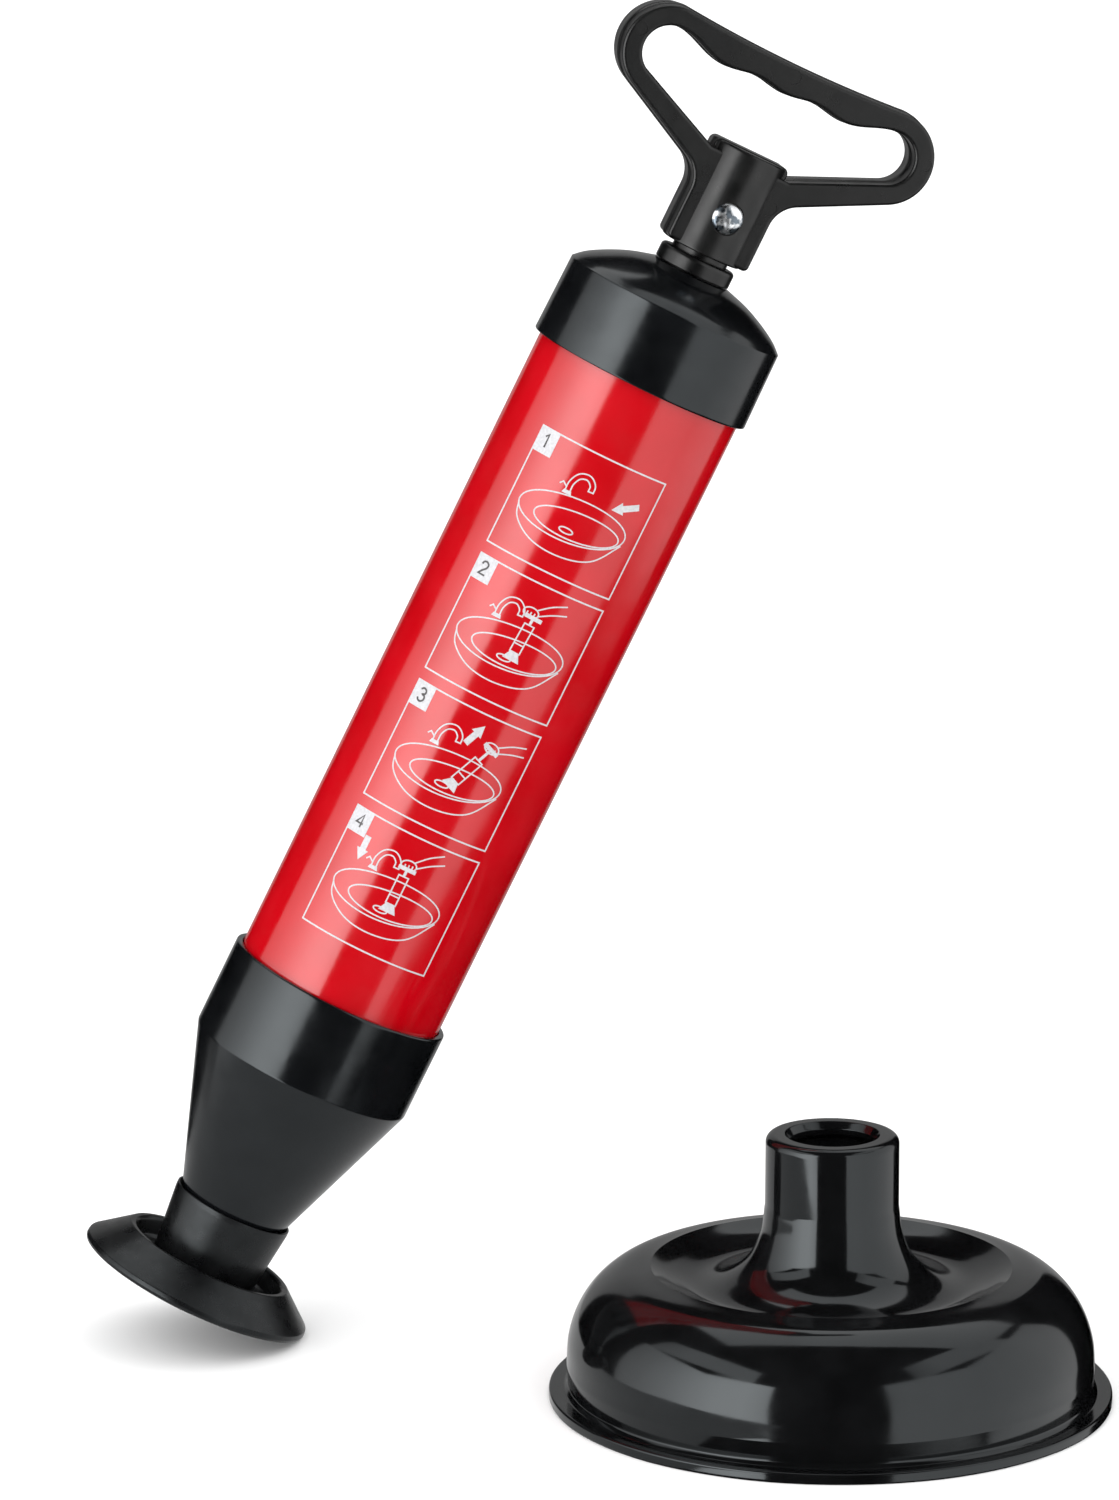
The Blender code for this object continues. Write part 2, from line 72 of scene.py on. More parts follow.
# Rod, guide and piston
ROD_R = 8.56
ROD_BORE = 6.5
ROD_BOTTOM = 97.9
ROD_TOP = 366.0
PLUG_TOP = 118.0  # of the spindle's plug in the rod
SCREW_TIP = 97.0
WASHER_BOTTOM = 82.7
GUIDE_R = 10.0
GUIDE_HEAD_R = 11.5
GUIDE_HEAD = 332.3
GUIDE_TOP = 337.1
GUIDE_BOTTOM = 320.2
GUIDE_BORE = ROD_R + 0.12
GROOVE_R = 10.5
GROOVE = (333.5, 335.7)
PISTON_R = 28.9
PISTON_BOTTOM = NOSE_SEAT + GAP
PISTON_BORE = 6.15
HEAD_WEB = (84.5, 88.0)
NECK_R = 26.4  # of the head above its flange
FLANGE_TOP = 80.4
SEAL_BASE = (HEAD_WEB[1] + GAP, 91.3)
BACK_PLATE = (SEAL_BASE[1] + GAP, 97.6)
BUFFER_TOP = 104.9
SPINDLE_R = 6.0
THREAD_R = 3.0

# Handle, flat in its own XZ plane
HANDLE_HALF = 7.85  # half its thickness
HUB_R = 11.8
HUB_BOTTOM = 339.1
HUB_TOP = 370.8
WEB_HALF = 12.9
CROWN_HALF = 11.7  # of the low step on top of the hub
LOOP_HALF = 49.2
LOOP_END_R = 13.6
LOOP_WALL = 5.8
LOOP_Z = 386.2
GRIP_TOP = 398.3
GRIP_UNDER = 390.4
FINGER_PITCH = 19.0
FINGER_DEPTH = 0.6
ARM_SLOPE_OUT = 26.5
ARM_SLOPE_IN = 23.9
ARM_FILLET = 9.0
FORK_Z = 367.6
RIVET_Z = 351.0
RIVET_R = 2.2
SPOT_FACE = 11.1  # from the axis to the flat under a rivet head

# Cups
LIP_R = 35.4
SPIGOT_BORE = SPIGOT_R + GAP
BELL_R = 80.6
BELL_EDGE = 3.0
BELL_NECK_R = 19.0
BELL_TOP = 77.6
BELL_MOUTH_R = 12.2

# Print on the barrel: panels 1 to 4 from the top down
PANEL_WIDTH = 41.6  # along the barrel's surface
PANEL_HEIGHT = 36.8
PANEL_PITCH = 40.6
PANEL_TOP = 276.2
PANEL_SHIFT = -1.6  # to the right of the barrel's front
FRAME_LINE = 0.47
ART_LINE = 0.40
DIGIT_LINE = 0.56
TAG = (6.6, 7.4)  # the digit's white corner, width and height
INK_DEPTH = 0.03  # sunk into the barrel
INK_HEIGHT = 0.045

COOL = (0.90, 0.97, 1.0, 1.0)  # the faint blue of reflections in carbon black

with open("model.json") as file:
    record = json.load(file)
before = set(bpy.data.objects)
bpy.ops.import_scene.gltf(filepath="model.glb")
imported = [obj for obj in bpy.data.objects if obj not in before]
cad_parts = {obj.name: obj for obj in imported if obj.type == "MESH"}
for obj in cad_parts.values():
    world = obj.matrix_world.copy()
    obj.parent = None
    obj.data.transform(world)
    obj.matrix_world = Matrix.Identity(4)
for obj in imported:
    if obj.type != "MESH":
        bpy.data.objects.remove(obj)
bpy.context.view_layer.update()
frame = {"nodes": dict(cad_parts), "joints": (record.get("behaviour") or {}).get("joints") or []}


# ---------------------------------------------------------------- places, from the frame


def pump_place():
    """The pump's own frame: its origin at the lip's centre and +Z up its axis."""
    joints = {joint["name"]: joint for joint in frame["joints"]}
    axis = Vector(joints["piston_slide"]["axis"])
    point = Vector(joints["handle_turn"]["pos_m"])
    lean = Euler((math.radians(-LEAN_BACK), math.radians(LEAN_SIDE), 0.0), "XYZ")
    return Matrix.Translation(point - axis * AXIS_POINT_HEIGHT * MM) @ lean.to_matrix().to_4x4()


def bell_place():
    low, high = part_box("bell_cup")
    return Matrix.Translation(((low.x + high.x) / 2, (low.y + high.y) / 2, low.z))


PUMP = pump_place()
HANDLE = PUMP @ Matrix.Rotation(math.radians(HANDLE_TURN), 4, "Z")
RIVET = HANDLE @ Matrix.Translation((0.0, 0.0, RIVET_Z * MM)) @ Matrix.Rotation(math.radians(90), 4, "X")
BELL = bell_place()


def new_object(name, data):
    made = bpy.data.objects.new(name, data)
    bpy.context.scene.collection.objects.link(made)
    return made


# ---------------------------------------------------------------- materials


def add_node(tree, kind, inputs=None, **settings):
    made = tree.nodes.new(kind)
    for key, value in settings.items():
        setattr(made, key, value)
    for key, value in (inputs or {}).items():
        made.inputs[key].default_value = value
    return made


def field(tree, scale, detail, stretch=(1.0, 1.0, 1.0)):
    """A value that varies over the surface, in the piece's own frame. Scale is features per metre."""
    place = add_node(tree, "ShaderNodeTexCoord")
    mapping = add_node(tree, "ShaderNodeMapping", {"Scale": stretch})
    texture = add_node(tree, "ShaderNodeTexNoise", {"Scale": scale, "Detail": detail})
    tree.links.new(place.outputs["Object"], mapping.inputs["Vector"])
    tree.links.new(mapping.outputs["Vector"], texture.inputs["Vector"])
    return texture.outputs["Fac"]


def spread(tree, value, low, high, start=0.3, end=0.7):
    """The field's range from start to end, laid over low to high."""
    mapped = add_node(
        tree, "ShaderNodeMapRange", {"From Min": start, "From Max": end, "To Min": low, "To Max": high}
    )
    tree.links.new(value, mapped.inputs["Value"])
    return mapped.outputs["Result"]


def tint(tree, value, dark, light, start=0.35, end=0.65):
    """The field's range from start to end, laid over two colours."""
    ramp = add_node(tree, "ShaderNodeValToRGB")
    first, last = ramp.color_ramp.elements
    first.position = start
    last.position = end
    first.color = (*dark, 1.0)
    last.color = (*light, 1.0)
    tree.links.new(value, ramp.inputs["Fac"])
    return ramp.outputs["Color"]


def bumps(tree, shader, layers):
    """Surface relief from (field, height in mm) layers."""
    normal = None
    for value, height in layers:
        bump = add_node(tree, "ShaderNodeBump", {"Strength": 1.0, "Distance": height * MM})
        tree.links.new(value, bump.inputs["Height"])
        if normal:
            tree.links.new(normal, bump.inputs["Normal"])
        normal = bump.outputs["Normal"]
    tree.links.new(normal, shader.inputs["Normal"])


def new_look(name, **sockets):
    material = bpy.data.materials.new(name)
    material.use_nodes = True
    shader = material.node_tree.nodes["Principled BSDF"]
    for socket, value in sockets.items():
        shader.inputs[socket.replace("_", " ")].default_value = value
    return material, material.node_tree, shader


def join(tree, shader, **values):
    for socket, value in values.items():
        tree.links.new(value, shader.inputs[socket.replace("_", " ")])


def red_plastic():
    """Extruded tube: saturated red, with faint draw lines along it and fine dust marks."""
    material, tree, shader = new_look("red_plastic", IOR=1.62)
    color = tint(tree, field(tree, 60, 3), (0.425, 0.0004, 0.0036), (0.47, 0.0008, 0.0055))
    roughness = spread(tree, field(tree, 90, 4), 0.10, 0.17)
    join(tree, shader, Base_Color=color, Roughness=roughness)
    draw_lines = field(tree, 900, 2, (1.0, 1.0, 0.012))
    bumps(tree, shader, [(draw_lines, 0.004), (field(tree, 35, 2), 0.05), (field(tree, 1400, 2), 0.0015)])
    return material


def black_gloss():
    """Polished moulding: near black, slightly wavy, with soft handling marks in its gloss."""
    material, tree, shader = new_look("black_gloss_plastic", IOR=1.5, Specular_Tint=COOL)
    color = tint(tree, field(tree, 80, 3), (0.0026, 0.0029, 0.0034), (0.0046, 0.0051, 0.0058))
    roughness = spread(tree, field(tree, 130, 4), 0.13, 0.22)
    join(tree, shader, Base_Color=color, Roughness=roughness)
    bumps(tree, shader, [(field(tree, 70, 2), 0.03), (field(tree, 1600, 2), 0.002)])
    return material


def black_satin():
    """Satin moulding with a fine sparked texture and paler rubbed patches."""
    material, tree, shader = new_look("black_satin_plastic", IOR=1.48)
    color = tint(tree, field(tree, 120, 4), (0.0022, 0.0024, 0.0025), (0.0046, 0.0047, 0.0046))
    roughness = spread(tree, field(tree, 200, 5), 0.26, 0.36)
    join(tree, shader, Base_Color=color, Roughness=roughness)
    bumps(tree, shader, [(field(tree, 2600, 3), 0.010), (field(tree, 150, 2), 0.03)])
    return material


def black_rubber():
    """Satin rubber with a slight bloom."""
    material, tree, shader = new_look("black_rubber", IOR=1.42, Specular_Tint=COOL)
    color = tint(tree, field(tree, 150, 5), (0.0028, 0.0029, 0.0032), (0.0060, 0.0062, 0.0066))
    roughness = spread(tree, field(tree, 220, 4), 0.24, 0.36)
    join(tree, shader, Base_Color=color, Roughness=roughness)
    bumps(tree, shader, [(field(tree, 1800, 3), 0.008), (field(tree, 120, 2), 0.05)])
    return material


def gloss_rubber():
    """Polished soft PVC: a mirror with slight waves, fine specks and dull smears."""
    material, tree, shader = new_look("gloss_rubber", IOR=1.5, Specular_Tint=COOL)
    color = tint(tree, field(tree, 60, 3), (0.0025, 0.0026, 0.0028), (0.0048, 0.0050, 0.0054))
    roughness = spread(tree, field(tree, 75, 5), 0.07, 0.14)
    join(tree, shader, Base_Color=color, Roughness=roughness)
    bumps(tree, shader, [(field(tree, 45, 2), 0.06), (field(tree, 900, 2), 0.0015)])
    return material


def zinc_steel():
    """Zinc plate: bright, with grey-blue crystal patches."""
    material, tree, shader = new_look("zinc_steel", Metallic=1.0)
    crystals = field(tree, 380, 2)
    color = tint(tree, crystals, (0.16, 0.19, 0.22), (0.88, 0.90, 0.92), 0.44, 0.54)
    roughness = spread(tree, field(tree, 700, 4), 0.20, 0.38)
    join(tree, shader, Base_Color=color, Roughness=roughness)
    bumps(tree, shader, [(crystals, 0.05), (field(tree, 3000, 2), 0.004)])
    return material


def nylon():
    """Natural nylon of the piston's plates."""
    material, tree, shader = new_look("nylon", Subsurface_Weight=0.12, Subsurface_Scale=0.002)
    color = tint(tree, field(tree, 90, 3), (0.68, 0.66, 0.60), (0.79, 0.78, 0.73))
    roughness = spread(tree, field(tree, 260, 4), 0.34, 0.48)
    join(tree, shader, Base_Color=color, Roughness=roughness)
    bumps(tree, shader, [(field(tree, 1500, 3), 0.006)])
    return material


def white_ink():
    material, tree, shader = new_look("white_ink")
    color = tint(tree, field(tree, 1500, 4), (0.46, 0.46, 0.48), (0.56, 0.56, 0.58))
    join(tree, shader, Base_Color=color, Roughness=spread(tree, field(tree, 900, 3), 0.32, 0.50))
    bumps(tree, shader, [(field(tree, 2200, 2), 0.004)])
    return material


def grey_ink():
    material, tree, shader = new_look("grey_ink")
    color = tint(tree, field(tree, 1500, 4), (0.035, 0.032, 0.034), (0.065, 0.060, 0.062))
    join(tree, shader, Base_Color=color, Roughness=spread(tree, field(tree, 900, 3), 0.35, 0.55))
    bumps(tree, shader, [(field(tree, 2200, 2), 0.004)])
    return material


LOOKS = {
    "red_plastic": red_plastic(),
    "black_gloss_plastic": black_gloss(),
    "black_satin_plastic": black_satin(),
    "black_rubber": black_rubber(),
    "gloss_rubber": gloss_rubber(),
    "zinc_steel": zinc_steel(),
    "white_plastic": nylon(),
}


# ---------------------------------------------------------------- outlines and meshes


def arc(center, radius, start, end, count):
    """Points on an arc in degrees, both ends included."""
    points = []
    for i in range(count + 1):
        angle = math.radians(start + (end - start) * i / count)
        points.append((center[0] + radius * math.cos(angle), center[1] + radius * math.sin(angle)))
    return points


def spline(points, per_span):
    """A smooth curve through the points (centripetal Catmull-Rom), both ends included."""
    first = [2 * a - b for a, b in zip(points[0], points[1])]
    last = [2 * a - b for a, b in zip(points[-1], points[-2])]
    knots = [Vector(p) for p in [first, *points, last]]
    curve = []
    for i in range(1, len(knots) - 2):
        p0, p1, p2, p3 = knots[i - 1 : i + 3]
        t1 = (p1 - p0).length ** 0.5
        t2 = t1 + (p2 - p1).length ** 0.5
        t3 = t2 + (p3 - p2).length ** 0.5
        for j in range(per_span):
            t = t1 + (t2 - t1) * j / per_span
            a1 = p0.lerp(p1, t / t1)
            a2 = p1.lerp(p2, (t - t1) / (t2 - t1))
            a3 = p2.lerp(p3, (t - t2) / (t3 - t2))
            b1 = a1.lerp(a2, t / t2)
            b2 = a2.lerp(a3, (t - t1) / (t3 - t1))
            curve.append(tuple(b1.lerp(b2, (t - t1) / (t2 - t1))))
    curve.append(tuple(points[-1]))
    return curve


def rounded(corners, closed=True):
    """An outline with an arc at each corner that names a radius: (x, y) or (x, y, radius)."""
    points = []
    for i, corner in enumerate(corners):
        here = Vector(corner[:2])
        fillet = corner[2] if len(corner) > 2 else 0.0
        if not fillet or (not closed and i in (0, len(corners) - 1)):
            points.append(here)
            continue
        before = Vector(corners[i - 1][:2]) - here
        after = Vector(corners[(i + 1) % len(corners)][:2]) - here
        half = before.angle(after) / 2
        reach = min(fillet / math.tan(half), 0.49 * before.length, 0.49 * after.length)
        bisector = (before.normalized() + after.normalized()).normalized()
        center = here + bisector * (reach / math.cos(half))
        start = here + before.normalized() * reach - center
        end = here + after.normalized() * reach - center
        turn = math.atan2(start.x * end.y - start.y * end.x, start.dot(end))
        count = max(2, math.ceil(abs(turn) / math.radians(14)))
        for j in range(count + 1):
            angle = turn * j / count
            cos, sin = math.cos(angle), math.sin(angle)
            points.append(center + Vector((start.x * cos - start.y * sin, start.x * sin + start.y * cos)))
    return points


def with_supports(points, closed=True, margin=0.35):
    """Adds a point near each end of a long straight run, so that its shading stays flat."""
    ends = points[1:] + points[:1] if closed else points[1:]
    held = []
    for a, b in zip(points, ends):
        held.append(a)
        run = b - a
        if run.length > 4 * margin:
            held.append(a + run.normalized() * margin)
            held.append(b - run.normalized() * margin)
    if not closed:
        held.append(points[-1])
    return held


def shade(mesh):
    mesh.shade_smooth()
    mesh.set_sharp_from_angle(angle=SHARP_ANGLE)


def finish_mesh(name, shape):
    bmesh.ops.recalc_face_normals(shape, faces=shape.faces)
    mesh = bpy.data.meshes.new(name)
    shape.to_mesh(mesh)
    shape.free()
    shade(mesh)
    return mesh


def lathe(name, corners, steps=STEPS, closed=True):
    """A solid turned about Z from (radius, height, fillet) corners. An open outline ends on the axis."""
    on_axis = 1e-6
    shape = bmesh.new()
    turns = [2 * math.pi * i / steps for i in range(steps)]
    rings = []
    for r, z in with_supports(rounded(corners, closed), closed):
        if r < on_axis:
            rings.append([shape.verts.new((0.0, 0.0, z * MM))] * steps)
            continue
        rings.append([shape.verts.new((r * MM * math.cos(t), r * MM * math.sin(t), z * MM)) for t in turns])
    above = rings[1:] + rings[:1] if closed else rings[1:]
    for low, high in zip(rings, above):
        for i in range(steps):
            j = (i + 1) % steps
            shape.faces.new(dict.fromkeys((low[i], low[j], high[j], high[i])))
    return finish_mesh(name, shape)


def roughen(mesh, size, height, seed):
    """Moves every point a little along its normal, by smooth noise with features of that size in mm."""
    offset = Vector((seed * 7.3, seed * 3.1, seed * 5.7))
    moves = [noise.noise(v.co / (size * MM) + offset) * height * MM for v in mesh.vertices]
    for vertex, normal, move in zip(mesh.vertices, [v.normal.copy() for v in mesh.vertices], moves):
        vertex.co += normal * move
    return mesh


def add_piece(name, mesh, place, body, look, node=None):
    """Puts a mesh in its place, on its body and in its material, over the CAD node that it replaces."""
    piece = new_object(name, mesh)
    piece.matrix_world = place
    mesh.materials.append(look)
    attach(piece, body)
    if node:
        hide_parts(node)
    return piece


def add_turned(node, corners, body, slot, place=None, steps=STEPS, closed=True, rough=None):
    """A turned piece in place of a CAD node. Rough is what roughen asks for: size, height and seed."""
    mesh = lathe(node + "_fine", corners, steps, closed)
    if rough:
        roughen(mesh, *rough)
    return add_piece(node + "_fine", mesh, place or PUMP, body, LOOKS[slot], node)


def ring(inner, outer, low, high, fillet=0.25):
    """The corners of a plain ring's section."""
    return [(inner, high, fillet), (outer, high, fillet), (outer, low, fillet), (inner, low, fillet)]


# ---------------------------------------------------------------- barrel and its ends


def add_barrel():
    tube = ring(BARREL_BORE, BARREL_R, BARREL_BOTTOM, BARREL_TOP)
    add_turned("barrel_tube", tube, "barrel", "red_plastic")
    low, high = NOSE_SEAT + GAP, BARREL_BOTTOM - GAP
    add_turned("nose_gasket", ring(SEAT_R, BARREL_R, low, high), "barrel", "black_rubber")
    low, high = BARREL_TOP + GAP, CAP_SEAT - GAP
    add_turned("cap_gasket", ring(SEAT_R, BARREL_R, low, high), "barrel", "black_rubber")


def add_nose():
    wall_r = 28.0
    cone_top = 64.7
    profile = [
        (SOCKET_R, NOSE_TOP, 0.2),
        (COLLAR_R, NOSE_TOP, 0.55),
        (COLLAR_R, NOSE_CORNER, 1.3),
        (*CONE_END, 0.4),
        (SPIGOT_R, CONE_END[1] - GAP, 0.2),
        (SPIGOT_R, SPIGOT_TIP, 0.8),
        (OUTLET_R, SPIGOT_TIP, 0.4),
        (OUTLET_R, CONE_END[1] - 0.5, 1.5),
        (wall_r, cone_top, 2.0),
        (wall_r, NOSE_SEAT, 0.3),
        (SOCKET_R, NOSE_SEAT, 0.2),
    ]
    add_turned("nose_cone", profile, "barrel", "black_gloss_plastic", rough=(26.0, 0.05, 1))


def add_cap():
    wall_r = 29.0
    low = CAP_SHOULDER
    dome_top = low + 10.3
    dome = spline(
        [(32.9, low), (30.3, low + 2.3), (25.6, low + 5.1), (19.2, low + 8.0), (11.6, dome_top)], 6
    )
    profile = [
        (GUIDE_R + GAP, CAP_CEILING, 0.3),
        (GUIDE_R + GAP, dome_top),
        *reversed(dome[1:]),
        (33.05, low - 0.15, 0.3),
        (COLLAR_R, CAP_BOTTOM, 0.5),
        (SOCKET_R, CAP_BOTTOM, 0.2),
        (SOCKET_R, CAP_SEAT, 0.2),
        (wall_r, CAP_SEAT, 0.3),
        (wall_r, low - 1.1, 1.5),
        (24.5, low + 2.9, 3.0),
        (16.5, CAP_CEILING, 3.0),
    ]
    add_turned("top_cap", profile, "barrel", "black_gloss_plastic", rough=(26.0, 0.05, 2))


def add_guide():
    """The bush and its O-ring. The lock nut keeps its CAD shape and only gets its material."""
    profile = [
        (GUIDE_BORE, GUIDE_TOP, 0.5),
        (GUIDE_HEAD_R, GUIDE_TOP, 1.2),
        (GUIDE_HEAD_R, GUIDE_HEAD, 0.3),
        (GUIDE_R, GUIDE_HEAD, 0.2),
        (GUIDE_R, GUIDE_BOTTOM, 0.5),
        (GUIDE_BORE, GUIDE_BOTTOM, 0.5),
        (GUIDE_BORE, GROOVE[0], 0.1),
        (GROOVE_R, GROOVE[0], 0.2),
        (GROOVE_R, GROOVE[1], 0.2),
        (GUIDE_BORE, GROOVE[1], 0.1),
    ]
    add_turned("rod_guide_bush", profile, "barrel", "black_satin_plastic", steps=SMALL_STEPS)
    middle = ((GROOVE_R + ROD_R) / 2, sum(GROOVE) / 2)
    cord_r = 0.8
    section = arc(middle, cord_r, 180, -180, 20)[:-1]
    add_turned("rod_o_ring", section, "barrel", "black_rubber", steps=SMALL_STEPS)
    nut = frame["nodes"]["guide_lock_nut"]
    nut.data.materials.clear()
    nut.data.materials.append(LOOKS["black_satin_plastic"])


# ---------------------------------------------------------------- piston and rod


def piston_head():
    skirt_r = 24.0
    return [
        (PISTON_BORE, HEAD_WEB[1], 0.3),
        (NECK_R, HEAD_WEB[1], 0.5),
        (NECK_R, FLANGE_TOP, 0.6),
        (PISTON_R, FLANGE_TOP, 0.4),
        (PISTON_R, PISTON_BOTTOM, 1.0),
        (skirt_r, PISTON_BOTTOM, 0.5),
        (skirt_r, HEAD_WEB[0], 1.0),
        (PISTON_BORE, HEAD_WEB[0], 0.3),
    ]


def piston_seal():
    """A cup seal: a flat base between head and plate, and a lip that reaches down round the head."""
    lip_r = BARREL_BORE - 0.2
    bore = PISTON_BORE + 0.3
    inner_r = NECK_R + 0.35
    return [
        (bore, SEAL_BASE[1], 0.2),
        (lip_r - 0.8, SEAL_BASE[1], 0.4),
        (lip_r, 84.6, 2.0),
        (lip_r, 81.0, 0.3),
        (lip_r - 0.6, FLANGE_TOP + 0.5, 0.2),
        (27.6, FLANGE_TOP + 0.6, 0.2),
        (inner_r, 84.0, 2.0),
        (inner_r, SEAL_BASE[0], 0.4),
        (bore, SEAL_BASE[0], 0.2),
    ]


def back_plate():
    groove_in, groove_out, groove_floor = 14.6, 24.5, 94.1
    return [
        (PISTON_BORE, BACK_PLATE[1], 0.3),
        (groove_in, BACK_PLATE[1], 0.3),
        (groove_in, groove_floor, 0.6),
        (groove_out, groove_floor, 0.6),
        (groove_out, BACK_PLATE[1], 0.3),
        (PISTON_R, BACK_PLATE[1], 0.6),
        (PISTON_R, BACK_PLATE[0], 0.3),
        (PISTON_BORE, BACK_PLATE[0], 0.3),
    ]


def add_piston():
    add_turned("piston_head", piston_head(), "piston", "white_plastic")
    add_turned("piston_seal", piston_seal(), "piston", "black_rubber")
    add_turned("piston_back_plate", back_plate(), "piston", "white_plastic")
    stop = ring(ROD_R + 0.34, 13.8, BACK_PLATE[1] + GAP, BUFFER_TOP, 0.9)
    add_turned("stop_buffer", stop, "piston", "black_rubber", steps=SMALL_STEPS)


def add_rod():
    tube = ring(ROD_BORE, ROD_R, ROD_BOTTOM, ROD_TOP, 0.4)
    mesh = lathe("piston_rod_fine", tube, SMALL_STEPS)
    rod = add_piece("piston_rod_fine", mesh, HANDLE, "rod", LOOKS["black_satin_plastic"], "piston_rod")
    cut(rod, [cylinder("rod_rivet_bore", RIVET_R + GAP, -20, 20, RIVET)])
    thread_bore = THREAD_R + GAP
    thread_end = SCREW_TIP + 1.5
    plug_r = ROD_BORE - GAP
    spindle_low = HEAD_WEB[0]
    plug = [
        (0, PLUG_TOP),
        (plug_r, PLUG_TOP, 0.7),
        (plug_r, ROD_BOTTOM, 0.2),
        (SPINDLE_R, ROD_BOTTOM, 0.1),
        (SPINDLE_R, spindle_low, 0.3),
        (thread_bore, spindle_low, 0.2),
        (thread_bore, thread_end, 0.3),
        (0, thread_end),
    ]
    add_turned("rod_end_spindle", plug, "rod", "zinc_steel", steps=SMALL_STEPS, closed=False)
    washer = ring(thread_bore, 9.5, WASHER_BOTTOM, spindle_low - GAP, 0.3)
    add_turned("piston_washer", washer, "rod", "zinc_steel", steps=SMALL_STEPS)
    add_turned("piston_screw", screw_outline(), "rod", "zinc_steel", steps=SMALL_STEPS, closed=False)


def screw_outline():
    """A pan-head screw, point up, with a small recess in its head."""
    head_r = 6.0
    head_top = WASHER_BOTTOM - GAP
    head_bottom = head_top - 3.6
    recess_top = head_top - 1.8
    return [
        (0, SCREW_TIP),
        (THREAD_R, SCREW_TIP, 0.6),
        (THREAD_R, head_top, 0.2),
        (head_r, head_top, 0.4),
        (head_r, head_top - 2.8, 1.0),
        (4.8, head_bottom, 0.6),
        (1.6, head_bottom, 0.1),
        (1.4, recess_top, 0.1),
        (0, recess_top),
    ]


# ---------------------------------------------------------------- handle


def right_outer_edge():
    """The right half of the handle's outline, from the hub's foot up to the top of the grip."""
    foot_r = 1.5
    slope = math.radians(ARM_SLOPE_OUT)
    end_x = LOOP_HALF - LOOP_END_R
    tangent = (end_x + LOOP_END_R * math.sin(slope), LOOP_Z - LOOP_END_R * math.cos(slope))
    fillet_x = WEB_HALF + ARM_FILLET
    leave_x = fillet_x - ARM_FILLET * math.sin(slope)
    leave_z = tangent[1] - (tangent[0] - leave_x) * math.tan(slope)
    fillet_z = leave_z - ARM_FILLET * math.cos(slope)
    edge = arc((WEB_HALF - foot_r, HUB_BOTTOM + foot_r), foot_r, -90, 0, 6)
    edge += arc((fillet_x, fillet_z), ARM_FILLET, 180, 90 + ARM_SLOPE_OUT, 12)
    edge += arc((end_x, LOOP_Z), LOOP_END_R, -90 + ARM_SLOPE_OUT, 90, 36)
    end_top = LOOP_Z + LOOP_END_R
    count = 20
    for i in range(1, count):
        x = end_x * (1 - i / count)
        edge.append((x, GRIP_TOP + (end_top - GRIP_TOP) * (x / end_x) ** 2))
    return edge


def grip_underside(x):
    """Height of the finger side of the grip: shallow waves, rising to the ends of the opening."""
    end_x = LOOP_HALF - LOOP_END_R
    end_top = LOOP_Z + LOOP_END_R - LOOP_WALL
    wave_end = FINGER_PITCH
    if abs(x) <= wave_end:
        return GRIP_UNDER - FINGER_DEPTH * math.cos(2 * math.pi * x / FINGER_PITCH)
    rise = (abs(x) - wave_end) / (end_x - wave_end)
    start = GRIP_UNDER - FINGER_DEPTH
    return start + (end_top - start) * (1 - math.cos(math.pi * rise)) / 2


def right_inner_edge():
    """The right half of the opening, from the middle of the fork up to the middle of the grip."""
    end_x = LOOP_HALF - LOOP_END_R
    inner_r = LOOP_END_R - LOOP_WALL
    slope = math.radians(ARM_SLOPE_IN)
    tangent = (end_x + inner_r * math.sin(slope), LOOP_Z - inner_r * math.cos(slope))
    fork_x = tangent[0] - (tangent[1] - FORK_Z) / math.tan(slope)
    fork_r = 1.2
    edge = arc((fork_x - fork_r / 2, FORK_Z + fork_r), fork_r, -90, -90 + ARM_SLOPE_IN, 3)
    edge += arc((end_x, LOOP_Z), inner_r, -90 + ARM_SLOPE_IN, 90, 28)
    count = 56
    edge += [(end_x * (1 - i / count), grip_underside(end_x * (1 - i / count))) for i in range(1, count)]
    return edge


def mirrored(edge, middle):
    """A whole outline from its right half, closed through a point at the middle of the grip."""
    return [Vector(p) for p in [*edge, middle, *[(-x, z) for x, z in reversed(edge)]]]


def corner_steps(half_depth, radius):
    """(depth, inset) steps over a rounded edge, from the front face to the side."""
    turns = [math.radians(18 * i) for i in range(6)]
    return [(-half_depth + radius * (1 - math.cos(t)), radius * (1 - math.sin(t))) for t in turns]


def front_and_back(front):
    return front + [(-depth, inset) for depth, inset in reversed(front)]


def handle_section():
    """(depth, inset) steps over the edge: a rounded corner, a plain side and a raised parting band."""
    corner = 0.85
    band = [(-2.3, 0.0), (-2.0, -0.06), (-1.75, -0.26), (-1.45, -0.34)]
    front = [(-HANDLE_HALF, 1.7), (-HANDLE_HALF, 1.2)]
    front += corner_steps(HANDLE_HALF, corner)
    front += [(-HANDLE_HALF + corner + 0.4, 0.0), *band]
    return front_and_back(front)


def inward(outline, i):
    """The direction at a point of the outline towards what it encloses, longer at a sharp corner."""
    before = (outline[i] - outline[i - 1]).normalized()
    after = (outline[(i + 1) % len(outline)] - outline[i]).normalized()
    sides = Vector((-before.y, before.x)) + Vector((-after.y, after.x))
    return sides * (2.0 / max(sides.length_squared, 0.5))


